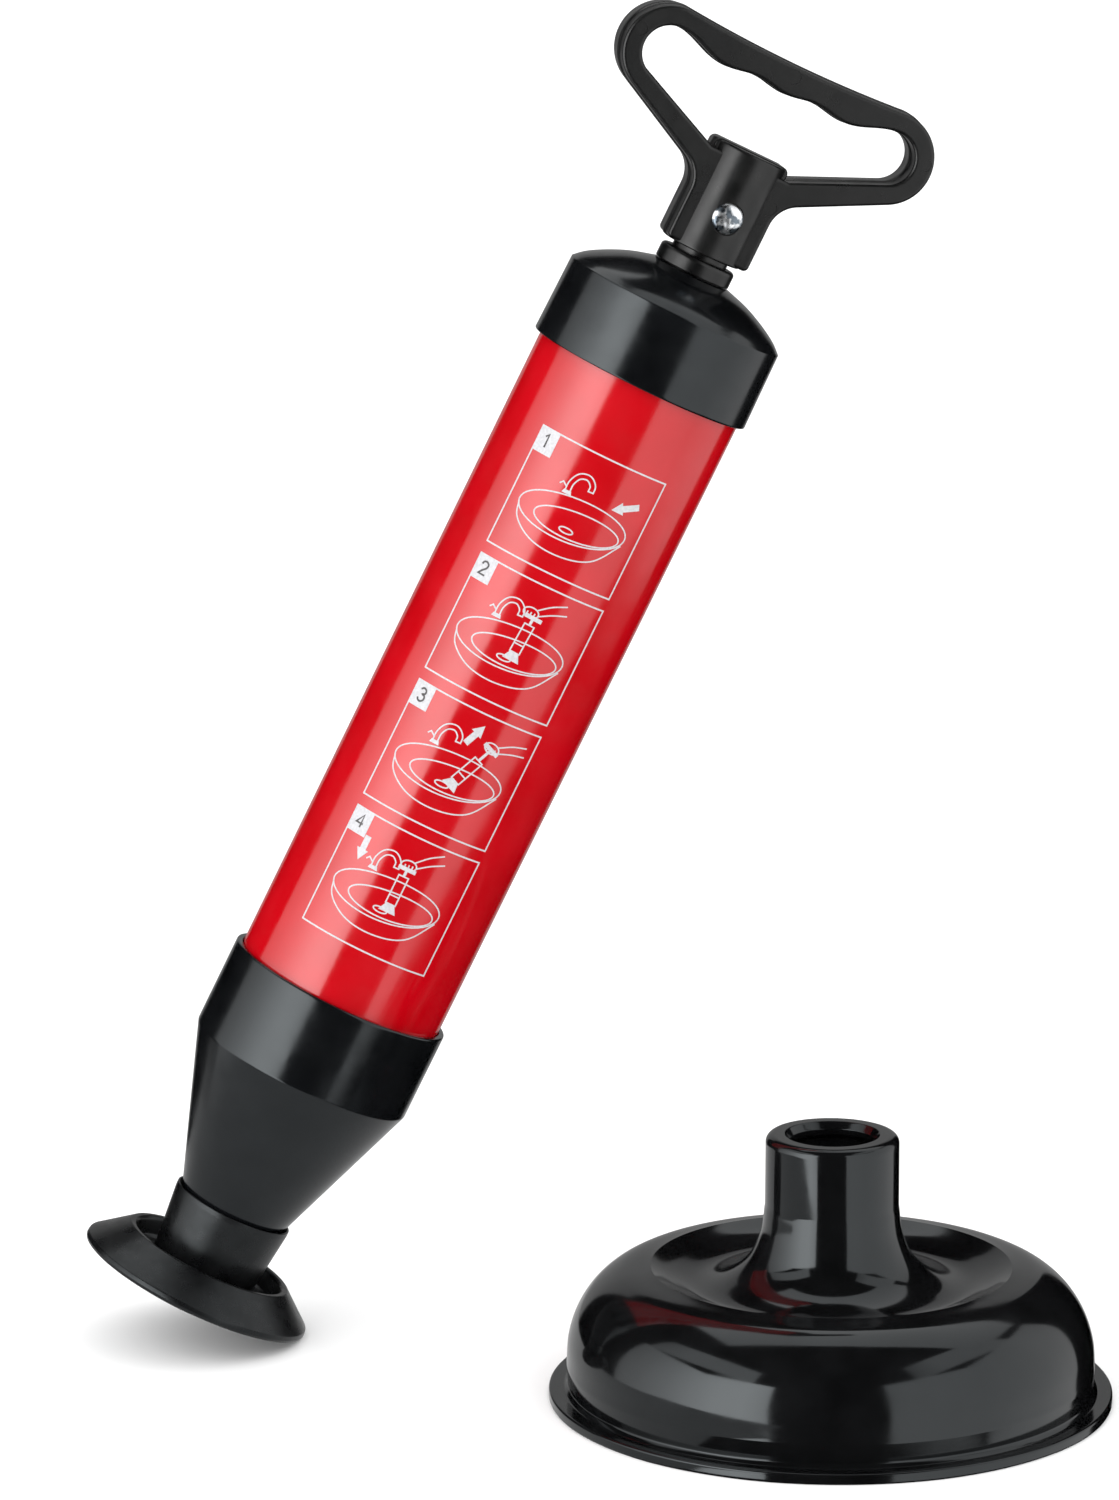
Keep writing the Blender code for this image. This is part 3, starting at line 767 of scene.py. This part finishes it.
def wall(shape, outline, section, sense):
    """The side wall along an outline in the handle's plane, as its rings of points from front to back.

    The section is (depth, inset) steps. The inset goes inwards for sense 1 and outwards for -1.
    """
    area = sum(a.x * b.y - b.x * a.y for a, b in zip(outline, outline[1:] + outline[:1]))
    facing = sense if area > 0 else -sense
    rings = []
    for depth, inset in section:
        ring_points = []
        for i, point in enumerate(outline):
            x, z = point + inward(outline, i) * inset * facing
            ring_points.append(shape.verts.new((x * MM, depth * MM, z * MM)))
        rings.append(ring_points)
    for low, high in zip(rings, rings[1:]):
        for i in range(len(outline)):
            shape.faces.new((low[i - 1], low[i], high[i], high[i - 1]))
    return rings


def handle_blank():
    """The flat loop with its web, without hub, holes and marks."""
    shape = bmesh.new()
    section = handle_section()
    outer = wall(shape, mirrored(right_outer_edge(), (0.0, GRIP_TOP)), section, 1.0)
    inner = wall(shape, mirrored(right_inner_edge(), (0.0, grip_underside(0.0))), section, -1.0)
    for side in (0, -1):
        rim = []
        for points in (outer[side], inner[side]):
            rim += [shape.edges.get((points[i - 1], points[i])) for i in range(len(points))]
        bmesh.ops.triangle_fill(shape, use_beauty=True, edges=rim)
    return finish_mesh("handle_fine", shape)


def tool(name, mesh, place):
    """A solid that only joins or cuts a piece."""
    made = new_object(name, mesh)
    made.matrix_world = place
    return made


def cylinder(name, radius, low, high, place):
    corners = [(0, high), (radius, high), (radius, low), (0, low)]
    return tool(name, lathe(name, corners, SMALL_STEPS, closed=False), place)


def cut(piece, tools, operation="DIFFERENCE"):
    """Joins or cuts the piece with each tool, which is then removed."""
    bpy.context.view_layer.update()
    for each in tools:
        modifier = piece.modifiers.new(each.name, "BOOLEAN")
        modifier.operation = operation
        modifier.solver = "EXACT"
        modifier.object = each
        evaluated = piece.evaluated_get(bpy.context.evaluated_depsgraph_get())
        mesh = bpy.data.meshes.new_from_object(evaluated)
        piece.modifiers.clear()
        piece.data = mesh
    for each in tools:
        bpy.data.objects.remove(each, do_unlink=True)
    shade(piece.data)


def prism(name, corners, half_depth, fillet):
    """A flat outline in the handle's plane, as thick as twice half_depth, with rounded face edges."""
    outline = [Vector(p) for p in rounded(corners)]
    shape = bmesh.new()
    rings = wall(shape, outline, front_and_back(corner_steps(half_depth, fillet)), 1.0)
    shape.faces.new(rings[0])
    shape.faces.new(rings[-1])
    return tool(name, finish_mesh(name, shape), HANDLE)


def ejector_marks():
    """Shallow round marks that the mould's pins leave on the front and back faces."""
    shape = bmesh.new()
    upright = Matrix.Rotation(math.radians(90), 4, "X")
    thickness = 0.36  # half of it in the face
    marks = [
        (-46.2, 389.0, 1.9),
        (0.0, 395.4, 2.2),
        (46.2, 389.0, 1.9),
        (-10.4, 358.6, 1.5),
        (10.6, 358.6, 2.2),
    ]
    for x, z, radius in marks:
        for side in (-1, 1):
            place = Matrix.Translation((x * MM, side * HANDLE_HALF * MM, z * MM)) @ upright
            bmesh.ops.create_cone(
                shape,
                cap_ends=True,
                segments=40,
                radius1=radius * MM,
                radius2=radius * MM,
                depth=thickness * MM,
                matrix=place,
            )
    return tool("ejector_marks", finish_mesh("ejector_marks", shape), HANDLE)


def rivet_hole():
    """A bore across the hub, with a flat spot face under each end of the rivet."""
    outside = 20.0
    face_r = 4.9
    bore = RIVET_R + GAP
    profile = [
        (0, outside),
        (face_r, outside),
        (face_r, SPOT_FACE),
        (bore, SPOT_FACE),
        (bore, -SPOT_FACE),
        (face_r, -SPOT_FACE),
        (face_r, -outside),
        (0, -outside),
    ]
    return tool("rivet_hole", lathe("rivet_hole", profile, SMALL_STEPS, closed=False), RIVET)


def add_handle():
    handle = add_piece("handle_fine", handle_blank(), HANDLE, "rod", LOOKS["black_satin_plastic"], "handle")
    hub_low = HUB_BOTTOM - 0.4
    hub_high = HUB_TOP - 0.3
    hub = [(0, hub_high), (HUB_R, hub_high, 0.7), (HUB_R, hub_low, 0.5), (0, hub_low)]
    hub_solid = tool("hub_solid", lathe("hub_solid", hub, STEPS, closed=False), HANDLE)
    crown_low = FORK_Z - 4.0
    crown = [
        (-CROWN_HALF, crown_low),
        (CROWN_HALF, crown_low),
        (CROWN_HALF, HUB_TOP, 1.9),
        (-CROWN_HALF, HUB_TOP, 1.9),
    ]
    cut(handle, [prism("hub_crown", crown, half_depth=5.4, fillet=0.6), hub_solid], "UNION")
    socket = cylinder("rod_socket", ROD_R + GAP, HUB_BOTTOM - 5, ROD_TOP + GAP, HANDLE)
    cut(handle, [socket, rivet_hole(), ejector_marks()])


def add_rivet():
    """A domed head in front, a flat clenched one behind, and a washer under that."""
    low = SPOT_FACE + GAP
    dome = spline([(0, low + 1.5), (2.6, low + 1.3), (4.0, low + 0.8), (4.5, low + 0.15)], 8)
    washer_high = -SPOT_FACE - GAP
    washer_low = washer_high - 0.8
    tail_high = washer_low - GAP
    tail_low = tail_high - 1.3
    profile = [
        *dome,
        (4.4, low, 0.05),
        (RIVET_R, low, 0.1),
        (RIVET_R, tail_high, 0.1),
        (3.4, tail_high, 0.2),
        (3.1, tail_high - 0.9, 0.3),
        (1.8, tail_low, 0.3),
        (0, tail_low),
    ]
    add_turned(
        "handle_rivet", profile, "rod", "zinc_steel", RIVET, SMALL_STEPS, closed=False, rough=(1.6, 0.08, 3)
    )
    washer = ring(RIVET_R + GAP, 4.4, washer_low, washer_high, 0.15)
    add_turned("rivet_washer", washer, "rod", "zinc_steel", RIVET, SMALL_STEPS)


# ---------------------------------------------------------------- cups


def add_small_cup():
    cone_slope = (COLLAR_R - CONE_END[0]) / (NOSE_CORNER - CONE_END[1])
    rim_z = 27.0
    rim_inner = CONE_END[0] + cone_slope * (rim_z - CONE_END[1]) + 0.75
    profile = [
        (rim_inner, rim_z, 0.2),
        (18.0, 26.9, 0.15),
        (18.0, 25.4, 0.3),
        (16.0, 7.0, 0.8),
        (16.4, 4.9, 1.0),
        (18.0, 4.0, 1.0),
        (21.6, 4.1, 0.8),
        (22.5, 5.0, 0.8),
        (23.4, 9.5, 1.0),
        (24.0, 10.3, 0.5),
        (25.4, 10.4, 0.6),
        (26.1, 9.8, 0.6),
        (35.2, 2.3, 0.4),
        (LIP_R, 1.1, 0.4),
        (LIP_R - 0.3, 0.3, 0.3),
        (LIP_R - 0.9, 0.0, 0.2),
        (33.8, 0.3, 0.2),
        (26.4, 6.4, 0.6),
        (25.2, 6.9, 0.5),
        (24.2, 6.2, 0.6),
        (22.6, 2.5, 0.6),
        (21.4, 1.9, 0.5),
        (OUTLET_R, 1.9, 0.4),
        (OUTLET_R, SPIGOT_TIP - GAP, 0.2),
        (SPIGOT_BORE, SPIGOT_TIP - GAP, 0.2),
        (SPIGOT_BORE, CONE_END[1] - 2 * GAP, 0.2),
        (CONE_END[0] + GAP, CONE_END[1] - GAP / 2, 0.1),
    ]
    add_turned("small_cup", profile, "small_cup", "black_rubber", rough=(14.0, 0.10, 4))


def add_bell_cup():
    """One outline: mouth, neck, flare into the dish, crest, dome and flange, and back up the inside."""
    crest = (51.5, 38.8)
    flare = spline(
        [(BELL_NECK_R, 57.0), (20.4, 48.0), (24.4, 40.2), (31.0, 35.4), (38.5, 33.9), (45.5, 35.9), crest], 8
    )
    dome = spline([crest, (60.2, 36.9), (67.3, 32.1), (72.1, 25.6), (74.8, 18.0), (75.5, 10.0)], 8)
    under = spline([(72.6, 10.0), (71.4, 18.2), (68.4, 24.4), (63.9, 30.1), (58.4, 33.8), (50.5, 35.8)], 4)
    dish = spline(
        [(50.5, 35.8), (42.5, 31.9), (33.0, 30.4), (21.0, 30.4), (15.5, 32.6), (SPIGOT_BORE, 36.5)], 4
    )
    profile = [
        (BELL_MOUTH_R, BELL_TOP - 2.0, 0.3),
        (BELL_MOUTH_R + 1.4, BELL_TOP, 0.3),
        (BELL_NECK_R, BELL_TOP, 2.4),
        *flare,
        *dome[1:],
        (75.0, BELL_EDGE + 1.2, 1.0),
        (76.2, BELL_EDGE, 0.8),
        (BELL_R, BELL_EDGE, 0.7),
        (BELL_R, 0.0, 0.5),
        (72.4, 0.0, 0.3),
        *under,
        *dish[1:],
        (SPIGOT_BORE, BELL_TOP - 5.0, 0.3),
        (BELL_MOUTH_R, BELL_TOP - 3.6, 0.3),
    ]
    add_turned("bell_cup", profile, "bell_cup", "gloss_rubber", BELL, 256, rough=(30.0, 0.16, 5))


# ---------------------------------------------------------------- print on the barrel


def stroke(points, width, closed=False):
    """A line of even width through the points, as (points, faces)."""
    line = [Vector(p) for p in points]
    count = len(line)
    left, right = [], []
    for i, here in enumerate(line):
        before = here - line[i - 1] if i or closed else line[1] - line[0]
        after = line[(i + 1) % count] - here if i < count - 1 or closed else before
        before, after = before.normalized(), after.normalized()
        side = Vector((-before.y - after.y, before.x + after.x))
        side *= width / max(side.length_squared, 1.0)
        left.append(here + side)
        right.append(here - side)
    last = count if closed else count - 1
    faces = [(i, (i + 1) % count, count + (i + 1) % count, count + i) for i in range(last)]
    return left + right, faces


def patch(points):
    return [Vector(p) for p in points], [tuple(range(len(points)))]


def turned_points(points, center, degrees):
    """The points turned about the origin, with the origin then moved to the centre."""
    cos, sin = math.cos(math.radians(degrees)), math.sin(math.radians(degrees))
    return [(center[0] + x * cos - y * sin, center[1] + x * sin + y * cos) for x, y in points]


def ellipse(center, a, b, tilt=0.0, count=48):
    turns = [math.radians(360.0 * i / count) for i in range(count)]
    return turned_points([(a * math.cos(t), b * math.sin(t)) for t in turns], center, tilt)


def double_line(points, half):
    """A closed outline at that distance on both sides of a line, as a pipe is drawn."""
    sides, _ = stroke(points, 2 * half)
    count = len(points)
    return stroke([*sides[:count], *reversed(sides[count:])], ART_LINE, closed=True)


def arrow(tip, degrees, length=7.5):
    """A solid arrow. At 0 degrees it points up."""
    head, head_half, shaft_half = 3.4, 1.87, 0.95
    shape = [(0, 0), (head_half, -head), (shaft_half, -head), (shaft_half, -length)]
    shape += [(-shaft_half, -length), (-shaft_half, -head), (-head_half, -head)]
    return patch(turned_points(shape, tip, degrees))


def basin_art(tap_x):
    """A wash basin with a swan-neck tap, seen from a little above."""
    rim = ellipse((-0.4, -2.0), 16.9, 6.4, 4.0)
    bowl_edge = ellipse((1.7, -3.2), 13.2, 4.1, 4.0)
    waste = ellipse((-0.6, -5.3), 2.1, 0.8, 0.0, 24)
    body = spline([(-17.1, -3.6), (-15.6, -7.8), (-9.2, -11.9), (0.4, -12.9), (9.8, -10.4), (16.2, -3.0)], 8)
    bend = [(0.0, 4.9), (0.1, 7.8), (1.6, 10.4), (4.1, 11.0), (6.0, 9.4), (6.2, 7.6)]
    neck = spline([(tap_x + x, y) for x, y in bend], 6)
    base = [(tap_x - 1.5, 4.2), (tap_x + 1.5, 4.2), (tap_x + 1.1, 5.3), (tap_x - 1.1, 5.3)]
    lever = [(tap_x - 3.0, 6.2), (tap_x - 2.2, 7.1), (tap_x - 0.9, 6.2)]
    return [
        stroke(rim, ART_LINE, closed=True),
        stroke(bowl_edge, ART_LINE, closed=True),
        stroke(waste, ART_LINE, closed=True),
        stroke(body, ART_LINE),
        double_line(neck, 0.75),
        patch(base),
        stroke(lever, ART_LINE),
    ]


def pump_art(foot, degrees, pulled):
    """A pump like this one: filled cup, outlined barrel, rod and grip."""
    barrel_low, barrel_high = 2.6, 11.5
    rod_line, grip_line = 0.8, 1.2
    grip = barrel_high + 1.4 + pulled
    cup = [(-2.6, 0.0), (2.6, 0.0), (1.4, 2.4), (-1.4, 2.4)]
    barrel = [(-1.5, barrel_low), (1.5, barrel_low), (1.5, barrel_high), (-1.5, barrel_high)]

    def place(points):
        return turned_points(points, foot, degrees)

    return [
        patch(place(cup)),
        stroke(place(barrel), ART_LINE, closed=True),
        stroke(place([(0.0, barrel_high), (0.0, grip)]), rod_line),
        stroke(place([(-2.7, grip + 0.3), (2.7, grip + 0.3)]), grip_line),
        stroke(place([(-1.5, barrel_low + 2.6), (1.5, barrel_low + 2.6)]), ART_LINE),
    ]


def arm_art(grip, degrees):
    """A closed hand on the grip and its forearm."""
    fist = ellipse((0.0, 0.6), 2.3, 1.5, 0.0, 28)
    upper = spline([(1.4, 1.9), (5.0, 4.6), (9.0, 6.4)], 6)
    lower = spline([(2.3, 0.4), (6.0, 2.4), (10.0, 3.8)], 6)
    art = [
        stroke(turned_points(fist, grip, degrees), ART_LINE, closed=True),
        stroke(turned_points(upper, grip, degrees), ART_LINE),
        stroke(turned_points(lower, grip, degrees), ART_LINE),
    ]
    for i in range(3):
        x = -1.1 + 1.1 * i
        art.append(stroke(turned_points([(x, -0.7), (x + 0.1, 0.8)], grip, degrees), ART_LINE))
    return art


def digit_art(number):
    """The lines of a plain figure, 3.9 mm high, from its foot."""
    if number == 1:
        return [[(-0.7, 3.0), (0.25, 3.9), (0.25, 0.0)]]
    if number == 2:
        curve = [(-1.1, 2.9), (-0.7, 3.7), (0.2, 3.9), (1.05, 3.3), (0.9, 2.3), (-0.2, 1.2), (-1.15, 0.05)]
        return [[*spline(curve, 5), (1.2, 0.05)]]
    if number == 3:
        upper = [(-1.0, 3.3), (-0.2, 3.9), (0.8, 3.5), (0.85, 2.5), (-0.1, 2.1)]
        lower = [(-0.1, 2.1), (0.9, 1.8), (1.1, 0.8), (0.3, 0.0), (-0.6, 0.1), (-1.1, 0.8)]
        return [spline(upper, 5) + spline(lower, 5)[1:]]
    return [[(0.6, 0.0), (0.6, 3.9), (-1.15, 1.2), (1.25, 1.2)]]


def panel_art(number):
    """What each panel shows: the blocked basin, the pump set down, pulling, and pushing."""
    foot = (1.4, -5.2)
    art = basin_art(-5.2 if number == 1 else -7.8)
    if number == 1:
        return art + [arrow((8.6, 5.6), 116.0, 8.4)]
    if number == 2:
        return art + pump_art(foot, -3.0, 0.6) + arm_art((0.8, 9.2), 0.0)
    if number == 3:
        lean = -24.0
        grip = turned_points([(0.0, 16.0)], foot, lean)[0]
        return art + pump_art(foot, lean, 3.0) + arm_art(grip, lean / 2) + [arrow((3.4, 15.2), lean)]
    return art + pump_art(foot, 0.0, 0.6) + arm_art((1.4, 9.2), 6.0) + [arrow((-13.0, 4.6), 180.0)]


def sliced(points, faces):
    """A flat shape cut into upright strips, so that it can bend round the barrel."""
    strip = 1.0
    flat = bmesh.new()
    corners = [flat.verts.new((p[0], p[1], 0.0)) for p in points]
    for face in faces:
        flat.faces.new([corners[i] for i in face])
    low = math.floor(min(p[0] for p in points) / strip)
    high = math.ceil(max(p[0] for p in points) / strip)
    for i in range(low, high + 1):
        everything = [*flat.verts, *flat.edges, *flat.faces]
        bmesh.ops.bisect_plane(flat, geom=everything, plane_co=(i * strip, 0, 0), plane_no=(1, 0, 0))
    return flat


def wrap(flat, center_height, low, high):
    """Makes the flat shape solid and bends it round the barrel, from low to high over the surface."""
    raised = bmesh.ops.extrude_face_region(flat, geom=list(flat.faces))["geom"]
    top = {v for v in raised if isinstance(v, bmesh.types.BMVert)}
    for vertex in flat.verts:
        angle = (vertex.co.x + PANEL_SHIFT) / BARREL_R
        radius = (BARREL_R + (high if vertex in top else low)) * MM
        vertex.co = (
            radius * math.sin(angle),
            -radius * math.cos(angle),
            (center_height + vertex.co.y) * MM,
        )
    bmesh.ops.recalc_face_normals(flat, faces=flat.faces)


def print_mesh(name, layers, center_height, base=INK_HEIGHT):
    """Ink that lies on the barrel: the shapes one over the other, each a hair higher than the last."""
    layer_step = 0.0012
    whole = bmesh.new()
    for i, (points, faces) in enumerate(layers):
        flat = sliced(points, faces)
        wrap(flat, center_height, base - INK_HEIGHT - INK_DEPTH, base + i * layer_step)
        temporary = bpy.data.meshes.new("layer")
        flat.to_mesh(temporary)
        flat.free()
        whole.from_mesh(temporary)
        bpy.data.meshes.remove(temporary)
    mesh = bpy.data.meshes.new(name)
    whole.to_mesh(mesh)
    whole.free()
    shade(mesh)
    return mesh


def add_print():
    white, grey = white_ink(), grey_ink()
    half_w, half_h = PANEL_WIDTH / 2, PANEL_HEIGHT / 2
    border = [(-half_w, -half_h), (half_w, -half_h), (half_w, half_h), (-half_w, half_h)]
    edge = FRAME_LINE / 2
    left, right = -half_w - edge, -half_w + TAG[0]
    low, high = half_h - TAG[1], half_h + edge
    tag = [(left, low), (right, low), (right, high), (left, high)]
    foot = ((left + right) / 2, low + 1.9)
    for number in range(1, 5):
        center = PANEL_TOP - PANEL_HEIGHT / 2 - PANEL_PITCH * (number - 1)
        layers = [stroke(border, FRAME_LINE, closed=True), patch(tag), *panel_art(number)]
        mesh = print_mesh(f"print_panel_{number}", layers, center)
        add_piece(f"print_panel_{number}", mesh, PUMP, "barrel", white)
        lines = [stroke(turned_points(line, foot, 0.0), DIGIT_LINE) for line in digit_art(number)]
        mesh = print_mesh(f"print_digit_{number}", lines, center, 2 * INK_HEIGHT)
        add_piece(f"print_digit_{number}", mesh, PUMP, "barrel", grey)


# ---------------------------------------------------------------- floor, light and camera


def add_floor():
    mesh = bpy.data.meshes.new("floor")
    half = 14.0
    mesh.from_pydata(lying(-half, half, -half, half, 0), [], [(0, 1, 2, 3)])
    floor = new_object("floor", mesh)
    material, tree, shader = new_look("pale_floor", Specular_IOR_Level=0.0)
    color = tint(tree, field(tree, 3, 4), (0.88, 0.88, 0.88), (0.90, 0.90, 0.90))
    join(tree, shader, Base_Color=color, Roughness=spread(tree, field(tree, 20, 3), 0.7, 0.8))
    mesh.materials.append(material)
    floor.visible_glossy = False


def add_world():
    world = bpy.data.worlds.new("studio")
    world.use_nodes = True
    background = world.node_tree.nodes["Background"]
    background.inputs["Color"].default_value = (1.0, 1.0, 1.0, 1.0)
    background.inputs["Strength"].default_value = 1.5
    world.cycles_visibility.glossy = False
    bpy.context.scene.world = world


def add_card(name, corners, strengths):
    """A soft box that only reflections see, from its four corners.

    The strengths are laid evenly from its first side, corners 4 and 1, to its last, 2 and 3.
    """
    mesh = bpy.data.meshes.new(name)
    mesh.from_pydata(corners, [], [(0, 1, 2, 3)])
    layer = mesh.uv_layers.new(name="along")
    for loop, uv in zip(layer.data, [(0, 0), (1, 0), (1, 1), (0, 1)]):
        loop.uv = uv
    card = new_object(name, mesh)
    material = bpy.data.materials.new(name)
    material.use_nodes = True
    material.cycles.emission_sampling = "NONE"
    tree = material.node_tree
    tree.nodes.clear()
    along = add_node(tree, "ShaderNodeUVMap", uv_map="along")
    split = add_node(tree, "ShaderNodeSeparateXYZ")
    ramp = add_node(tree, "ShaderNodeValToRGB")
    peak = max(strengths)
    stops = ramp.color_ramp.elements
    while len(stops) < len(strengths):
        stops.new(0.5)
    for i, strength in enumerate(strengths):
        stops[i].position = i / (len(strengths) - 1)
        stops[i].color = (strength / peak, strength / peak, strength / peak, 1.0)
    glow = add_node(tree, "ShaderNodeEmission", {"Strength": peak})
    output = add_node(tree, "ShaderNodeOutputMaterial")
    tree.links.new(along.outputs["UV"], split.inputs["Vector"])
    tree.links.new(split.outputs["X"], ramp.inputs["Fac"])
    tree.links.new(ramp.outputs["Color"], glow.inputs["Color"])
    tree.links.new(glow.outputs["Emission"], output.inputs["Surface"])
    mesh.materials.append(material)
    card.visible_camera = False
    card.visible_diffuse = False
    card.visible_transmission = False
    card.visible_shadow = False


def standing(start, end, distance, low, high):
    """The corners of an upright card, between two angles from the camera's side, positive to the right."""
    a, b = [
        (distance * math.sin(math.radians(angle)), -distance * math.cos(math.radians(angle)))
        for angle in (start, end)
    ]
    return [(*a, low), (*b, low), (*b, high), (*a, high)]


def lying(left, right, front, back, height):
    return [(left, front, height), (right, front, height), (right, back, height), (left, back, height)]


def add_cards():
    """What the glossy surfaces mirror: a bright box on the left, a paler one on the right, and fills."""
    add_card("left_box_front", standing(-25.5, -62, 1.7, -0.6, 1.1), (3.8, 4.7, 4.5, 3.6))
    add_card("left_box_side", standing(-62, -107, 1.7, -0.6, 1.1), (3.6, 2.4, 1.5, 0.9))
    add_card("right_box_front", standing(24, 70, 1.7, -0.72, 1.2), (1.5, 1.45, 1.35, 1.3))
    add_card("right_box_side", standing(70, 126, 1.7, -0.72, 1.2), (1.3, 1.25, 1.1, 0.8))
    add_card("back_wall", standing(160, 205, 1.8, -1.0, 1.0), (0.35, 0.35))
    add_card("left_box_top", standing(-36, -104, 1.7, 1.1, 1.75), (1.6, 1.5, 1.3, 0.8))
    add_card("right_box_top", standing(42, 108, 1.7, 1.2, 2.1), (0.7, 1.15, 1.1, 1.0))
    add_card("top_box", lying(-0.6, 1.3, -0.02, 0.95, 1.3), (1.4, 1.4, 1.2, 1.0))
    add_card("table_glow", lying(-0.55, 0.0, -0.22, 0.3, -0.01), (0.5, 0.62, 0.62))


def add_key():
    """The one lamp: a large soft box in front, high on the left."""
    light = bpy.data.lights.new("key_left", "AREA")
    light.shape = "RECTANGLE"
    light.size = 1.6
    light.size_y = 1.6
    light.energy = 10.0
    lamp = new_object("key_left", light)
    place = Vector((-1.1, -1.2, 1.3))
    target = Vector((-0.02, 0.0, 0.15))
    lamp.location = place
    lamp.rotation_euler = (target - place).to_track_quat("-Z", "Y").to_euler()
    lamp.visible_glossy = False
    lamp.visible_camera = False


def add_camera():
    """The photographer's view: far away, a little above, straight along +Y."""
    from_bell = Vector((-0.0775, -1.817, 0.584))
    pitch = 12.263
    data = bpy.data.cameras.new("camera")
    data.lens = 159.2
    data.sensor_width = 36.0
    camera = new_object("camera", data)
    camera.location = BELL.translation + from_bell
    camera.rotation_euler = (math.radians(90 - pitch), 0.0, 0.0)
    bpy.context.scene.camera = camera


add_barrel()
add_nose()
add_cap()
add_guide()
add_piston()
add_rod()
add_handle()
add_rivet()
add_small_cup()
add_bell_cup()
add_print()
add_floor()
add_world()
add_cards()
add_key()
add_camera()
bpy.context.scene.view_settings.view_transform = "Standard"
